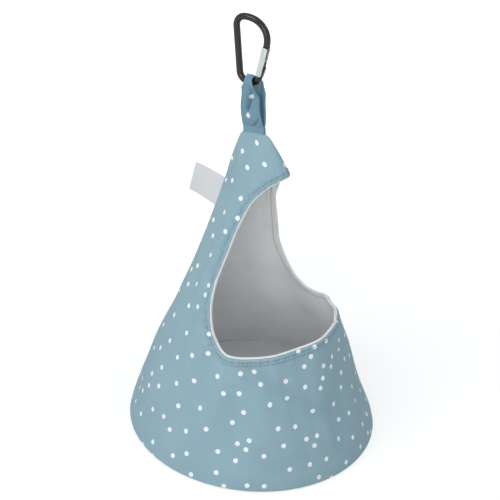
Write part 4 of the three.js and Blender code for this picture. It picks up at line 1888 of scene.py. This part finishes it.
@dataclass
class SnapHook:
    """The black snap hook with its silver gate, rivet and spring."""

    form: BagForm = field(default_factory=BagForm)
    offset: float = 0.8
    rise: float = 38.7
    rod: float = 2.55
    height: float = 48.5
    bottom_half: float = 1.5
    bend: float = 7.0
    corner: float = 7.5
    nose_bulge: float = 1.0
    nose_rise: float = 6.0
    gate_length: float = 21.5
    gate_depth: float = 4.3
    lean: float = math.radians(18.5)
    gap: float = 0.3
    knuckle_gap: float = 0.55
    tang_thickness: float = 3.0
    tang_inner: float = 1.2
    tang_outer: float = 3.3
    tang_rise: float = 3.2
    tang_outer_rise: float = 6.0
    nose_drop: float = 4.5
    rod_steps: tuple[int, int] = (240, 28)
    rod_edge: float = 0.5
    rivet_radius: float = 0.8
    rivet_head: float = 1.3
    dome_share: float = 0.46
    spring_turns: int = 6
    spring_wire: float = 0.2
    spring_radius: float = 1.05
    spring_top: float = 10.4
    black: BlackMetal = field(default_factory=BlackMetal)
    silver: SilverMetal = field(default_factory=SilverMetal)
    wire: SilverMetal = field(default_factory=lambda: SilverMetal("spring_steel", roughness=0.3))

    def gate_frame(self) -> tuple[Array, Array, Array]:
        """Gives the gate's own frame in the hook's plane.

        Returns:
            The pivot, the way along the gate, and the way across it to the spine.
        """
        along = np.array([-math.sin(self.lean), math.cos(self.lean)])
        turn = math.pi / 2 - self.lean
        end = np.array([-self.bottom_half - self.bend * math.sin(turn), self.bend * (1 - math.cos(turn))])
        pivot = end + along * (self.gate_depth / 2 + self.knuckle_gap)
        return pivot, along, np.array([math.cos(self.lean), math.sin(self.lean)])

    def rod_line(self, count: int) -> Array:
        """Draws the rod's middle line in Y and Z of the hook's plane.

        Args:
            count: How many points are wanted.

        Returns:
            Points from the nose, over the top and round the bottom to the pivot end.
        """
        pivot, along, _ = self.gate_frame()
        nose = pivot + along * (self.gate_length + self.gap)
        bow = np.array([nose[0] - self.nose_bulge, nose[1] + self.nose_rise])
        lead = nose + along * (self.nose_rise / 2)
        spine = self.bottom_half + self.bend
        top = np.array([spine - self.corner, self.height])
        rise = np.array([bow[0], mix(bow[1], top[1], 0.6)])
        crown = np.array([mix(bow[0], top[0], 0.45), mix(bow[1], top[1], 1.03)])
        t = np.linspace(0, 1, 60)[:, None]
        s = 1 - t
        turn = math.pi / 2 - self.lean
        parts = [
            s * s * nose + 2 * s * t * lead + t * t * bow,
            bezier(t, bow, rise, crown, top),
            self.arc((top[0], self.height - self.corner), self.corner, math.pi / 2, 0.0),
            np.array([[spine, self.bend]]),
            self.arc((self.bottom_half, self.bend), self.bend, 0.0, -math.pi / 2),
            self.arc((-self.bottom_half, self.bend), self.bend, -math.pi / 2, -math.pi / 2 - turn),
        ]
        return paced(np.concatenate(parts), count)[0]

    def arc(self, middle: tuple[float, float], radius: float, start: float, end: float) -> Array:
        """Draws an arc in the hook's plane.

        Args:
            middle: Its centre in Y and Z.
            radius: Its radius.
            start: The angle that it starts at.
            end: The angle that it ends at.

        Returns:
            Its points.
        """
        angle = np.linspace(start, end, 60)
        return np.stack([middle[0] + radius * np.cos(angle), middle[1] + radius * np.sin(angle)], axis=-1)

    def out(self, points: Array) -> Array:
        """Takes points from the hook's frame to the part's."""
        return self.form.tilted(points + np.array([0.0, self.offset, self.rise]))

    def gate_out(self, points: Array) -> Array:
        """Takes points from the gate's frame to the part's.

        Args:
            points: In millimetres from the pivot, with Z along the gate.

        Returns:
            The points in the part's frame.
        """
        pivot, along, across = self.gate_frame()
        y = pivot[0] + points[..., 1] * across[0] + points[..., 2] * along[0]
        z = pivot[1] + points[..., 1] * across[1] + points[..., 2] * along[1]
        return self.out(np.stack([points[..., 0], y, z], axis=-1))

    def tube(self, name: str, line: Array, radius: Array, sides: int) -> Piece:
        """Makes a round bar along a line, closed at both ends.

        Args:
            name: The piece's name.
            line: Its middle line, in millimetres, in the frame that it is drawn in.
            radius: Its radius at each point, 0 at both ends.
            sides: How many sides it has.

        Returns:
            The bar, in metres.
        """
        count = len(line)
        ahead = headings(line[:1], line, line[-1:])
        first = np.tile(np.array([1.0, 0.0, 0.0]), (count, 1))
        if np.abs(line[:, 0]).max() > 1e-6:
            first = unit(np.cross(ahead, np.array([0.0, 0.0, 1.0])))
        second = np.cross(ahead, first)

        def place(across: Array, along: Array) -> Array:
            """Places the bar's points.

            Args:
                across: Shares of its length.
                along: Shares of the way round it.

            Returns:
                The points, in millimetres.
            """
            index = np.rint(across * (count - 1)).astype(int)
            angle = along * 2 * math.pi
            spoke = first[index] * np.cos(angle)[:, None] + second[index] * np.sin(angle)[:, None]
            return line[index] + spoke * radius[index][:, None]

        piece = formed_grid(name, (count - 1, sides), place)
        weld(piece, 0.0005)
        return piece

    def plate(self, name: str, outline: list[tuple[float, float]], thickness: float, bevel: float) -> Piece:
        """Makes a flat plate square to X, from its outline in Y and Z.

        Args:
            name: The piece's name.
            outline: Its corners.
            thickness: Its thickness, centred on X = 0.
            bevel: How far its edges are rounded.

        Returns:
            The plate, in metres, in the frame that it is drawn in.
        """
        disc = {"vertices": len(outline), "radius": MM, "fill_type": "NGON"}
        piece = added(name, bpy.ops.mesh.primitive_circle_add, **disc)
        move_points(piece, np.array([(-0.5 * thickness, y, z) for y, z in outline]) * MM)
        slide = {"value": (thickness * MM, 0, 0)}
        edit_all(piece, partial(bpy.ops.mesh.extrude_region_move, TRANSFORM_OT_translate=slide))
        edit_all(piece, partial(bpy.ops.mesh.normals_make_consistent, inside=False))
        round_edges(piece, bevel, 3)
        return piece

    def join(self, pieces: list[Piece], name: str) -> Piece:
        """Joins meshes into one.

        Args:
            pieces: The meshes.
            name: The new piece's name.

        Returns:
            The piece.
        """
        take(*pieces)
        bpy.ops.object.join()
        joined = bpy.context.object
        joined.name = joined.data.name = name
        return joined

    def make_frame(self) -> None:
        """Makes the black rod with its flat tang and tongue."""
        count, sides = self.rod_steps
        line = self.rod_line(count)
        run = run_of(line)
        edge = self.rod_edge
        close = np.clip(np.minimum(run, run[-1] - run), 0, edge)
        round_end = self.rod - edge + np.sqrt(np.clip(edge**2 - (edge - close) ** 2, 0, None))
        radius = np.where(close < edge, round_end, self.rod)
        spots = np.concatenate([np.zeros((count, 1)), line], axis=1)
        spots = np.concatenate([spots[:1], spots, spots[-1:]])
        radius = np.concatenate([[0.0], radius, [0.0]])
        rod = self.tube("hook_rod", spots, radius, sides)
        move_by(rod, self.out)
        half = self.gate_depth / 2
        foot = half + self.knuckle_gap
        tang = [
            (self.tang_inner, -foot - 2.0),
            (self.tang_inner, 0.0),
            (self.tang_inner * 0.9, 0.6),
            (self.tang_inner * 0.55, 1.05),
            (0.0, self.tang_inner),
            (-self.rivet_head, self.tang_rise),
            (-half, self.tang_outer_rise),
            (-self.tang_outer, self.tang_outer_rise),
            (-self.rod, -foot),
            (-self.tang_inner, -foot - 2.0),
        ]
        low = self.gate_length - self.nose_drop
        high = self.gate_length + self.gap + 2.0
        tongue = [(-half, low), (self.tang_inner, low), (self.tang_inner, high), (-half, high)]
        pieces = [rod]
        for name, outline, bevel in (("tang", tang, 0.25), ("tongue", tongue, 0.3)):
            pieces.append(self.plate(name, outline, self.tang_thickness, bevel))
            move_by(pieces[-1], self.gate_out)
        piece = self.join(pieces, "hook_frame")
        soften(piece, 45.0)
        finish_piece(piece, self.black.make(), Body.HOOK, Slot.BLACK, ("carabiner_frame",))

    def make_gate(self) -> None:
        """Makes the gate from the frame's own shape, with its edges rounded."""
        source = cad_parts["carabiner_gate"]
        piece = bpy.data.objects.new("gate_channel", source.data.copy())
        bpy.context.scene.collection.objects.link(piece)
        weld(piece, 0.01)
        apply_modifier(piece, "DECIMATE", decimate_type="DISSOLVE", angle_limit=0.02)
        round_edges(piece, 0.16, 2)
        soften(piece, 45.0)
        finish_piece(piece, self.silver.make(), Body.GATE, Slot.SILVER, ("carabiner_gate",))

    def make_rivet(self) -> None:
        """Makes the rivet with two domed heads."""
        bar = {"vertices": 24, "radius": self.rivet_radius * MM, "depth": 2 * (self.rod + self.gap) * MM}
        parts = [added("shaft", bpy.ops.mesh.primitive_cylinder_add, rotation=(0, math.pi / 2, 0), **bar)]
        ball = {"segments": 24, "ring_count": 12, "radius": self.rivet_head * MM}
        for side in (-1.0, 1.0):
            head = added("head", bpy.ops.mesh.primitive_uv_sphere_add, **ball)
            dome = points_of(head)
            bulge = side * np.clip(dome[:, 2], 0, None) * self.dome_share
            dome = np.stack([bulge, dome[:, 0], dome[:, 1] * side], axis=-1)
            dome[:, 0] += side * (self.rod + 0.02) * MM
            move_points(head, dome)
            weld(head, 0.0005)
            parts.append(head)
        take(parts[0])
        bpy.ops.object.transform_apply(location=True, rotation=True, scale=True)
        piece = self.join(parts, "rivet")
        move_by(piece, self.gate_out)
        soften(piece, 50.0)
        finish_piece(piece, SilverMetal("rivet_metal").make(), Body.HOOK, Slot.SILVER, ("gate_rivet",))

    def make_spring(self) -> None:
        """Makes the coil spring inside the gate."""
        count = self.spring_turns * 20 + 1
        clear = self.gap + self.spring_wire
        share = np.linspace(0, 1, count)
        angle = share * self.spring_turns * 2 * math.pi
        rise = mix(self.tang_rise + clear, self.spring_top - clear, share)
        coil = self.spring_radius
        line = np.stack([coil * np.cos(angle), coil * np.sin(angle), rise], axis=-1)
        radius = np.full(count, self.spring_wire)
        radius[0] = radius[-1] = 0.0
        piece = self.tube("spring_coil", line, radius, 8)
        move_by(piece, self.gate_out)
        soften(piece, 70.0)
        finish_piece(piece, self.wire.make(), Body.GATE, Slot.SPRING, ("gate_spring",))

    def build(self) -> None:
        """Makes and dresses the hook's pieces."""
        for make in (self.make_frame, self.make_gate, self.make_rivet, self.make_spring):
            make()


# The camera, the light and the floor.
@dataclass(frozen=True)
class Lamp:
    """A soft square lamp that points at the bag.

    Its place is as the camera sees it: to the right, away, and up, in metres.
    """

    name: str
    place: tuple[float, float, float]
    size: float
    power: float


@dataclass
class Studio:
    """A white studio with soft light, seen from where the photograph was taken.

    Its lengths are metres. The lens is the photograph's own, whose focal length is
    1467 times the size of one of its 500 columns.
    """

    distance: float = 1.2
    elevation: float = math.radians(37.25)
    pitch: float = math.radians(30.94)
    yaw: float = math.radians(-0.71)
    roll: float = math.radians(4.53)
    azimuth: float = math.radians(59.3)
    sensor: float = 36.0
    lens: float = 1467.0 / 500.0 * 36.0
    sky: float = 0.56
    sky_colour: tuple[float, float, float] = (0.91, 0.985, 1.02)
    lamps: tuple[Lamp, ...] = (
        Lamp("key", (-1.25, -0.7, 1.45), 0.8, 11.0),
        Lamp("front", (-0.3, -1.5, 0.7), 0.8, 7.0),
        Lamp("strip", (0.9, 0.1, 1.1), 0.25, 1.6),
    )
    aim: tuple[float, float, float] = (0.0, 0.0, 0.12)
    glow: float = 0.65
    floor_grey: float = 0.45

    def turned(self, vector: Vector) -> Vector:
        """Returns a vector of the camera's own plan turned into the part's frame."""
        return Matrix.Rotation(-self.azimuth, 3, "Z") @ vector

    def make_camera(self) -> None:
        """Makes the camera and gives it to the scene."""
        away, high = self.distance * math.cos(self.elevation), self.distance * math.sin(self.elevation)
        place = Vector((0.0, -away, high))
        level = math.cos(self.pitch)
        ahead = Vector((math.sin(self.yaw) * level, math.cos(self.yaw) * level, -math.sin(self.pitch)))
        right = ahead.cross(Vector((0, 0, 1))).normalized()
        up = right.cross(ahead)
        c, s = math.cos(self.roll), math.sin(self.roll)
        right, up = c * right + s * up, c * up - s * right
        columns = [self.turned(v) for v in (right, up, -ahead)]
        turn = Matrix(columns).transposed()
        take()
        bpy.ops.object.camera_add()
        camera = bpy.context.object
        camera.name = "camera"
        camera.matrix_world = Matrix.Translation(self.turned(place)) @ turn.to_4x4()
        camera.data.lens = self.lens
        camera.data.sensor_width = self.sensor
        camera.data.clip_start, camera.data.clip_end = 0.05, 30.0
        bpy.context.scene.camera = camera

    def add_lamp(self, lamp: Lamp) -> None:
        """Adds a lamp.

        Args:
            lamp: The lamp's sizes.
        """
        place = self.turned(Vector(lamp.place))
        take()
        bpy.ops.object.light_add(type="AREA", location=place)
        light = bpy.context.object
        light.name = lamp.name
        light.data.shape = "SQUARE"
        light.data.size = lamp.size
        light.data.energy = lamp.power
        light.rotation_euler = (Vector(self.aim) - place).to_track_quat("-Z", "Y").to_euler()

    def make_world(self) -> None:
        """Makes a soft sky that the camera and mirrors see as white."""
        paint = Painter("studio", sky=True)
        light = tuple(part * self.sky for part in self.sky_colour) + (1.0,)
        bpy.context.scene.world = paint.feed(Color=paint.mixed(paint.seen(), light, WHITE))

    def make_floor(self) -> None:
        """Makes the white floor, which keeps the bag's shadow."""
        floor = added("studio_floor", bpy.ops.mesh.primitive_plane_add, size=8.0, location=(0, 0, -0.0002))
        bpy.ops.object.transform_apply(location=True)
        paint = Painter("studio_floor")
        where = paint.where("Object")
        reach = paint.node("ShaderNodeVectorMath", {"operation": "LENGTH"}, "Value", Vector=where)
        near = paint.mixed(reach.eased(0.2, 0.8), (self.glow,) * 3 + (1.0,), WHITE)
        material = paint.feed(
            Base_Color=(self.floor_grey,) * 3 + (1.0,),
            Roughness=0.9,
            Specular_IOR_Level=0.1,
            Emission_Color=paint.mixed(paint.seen(), BLACK, near),
            Emission_Strength=1.0,
        )
        floor.data.materials.append(material)

    def build(self) -> None:
        """Makes the lamps, the sky and the floor."""
        bpy.context.scene.view_settings.view_transform = "Standard"
        for lamp in self.lamps:
            self.add_lamp(lamp)
        self.make_world()
        self.make_floor()


def main() -> None:
    """Builds the whole scene, the camera first."""
    logging.basicConfig(level=logging.INFO, format="%(message)s")
    studio = Studio()
    studio.make_camera()
    cloth = ClothBody()
    cloth.build()
    Label().make()
    loop = HangingLoop()
    loop.make()
    loop.make_stitches(cloth)
    SnapHook().build()
    studio.build()


if __name__ == "__main__":
    main()
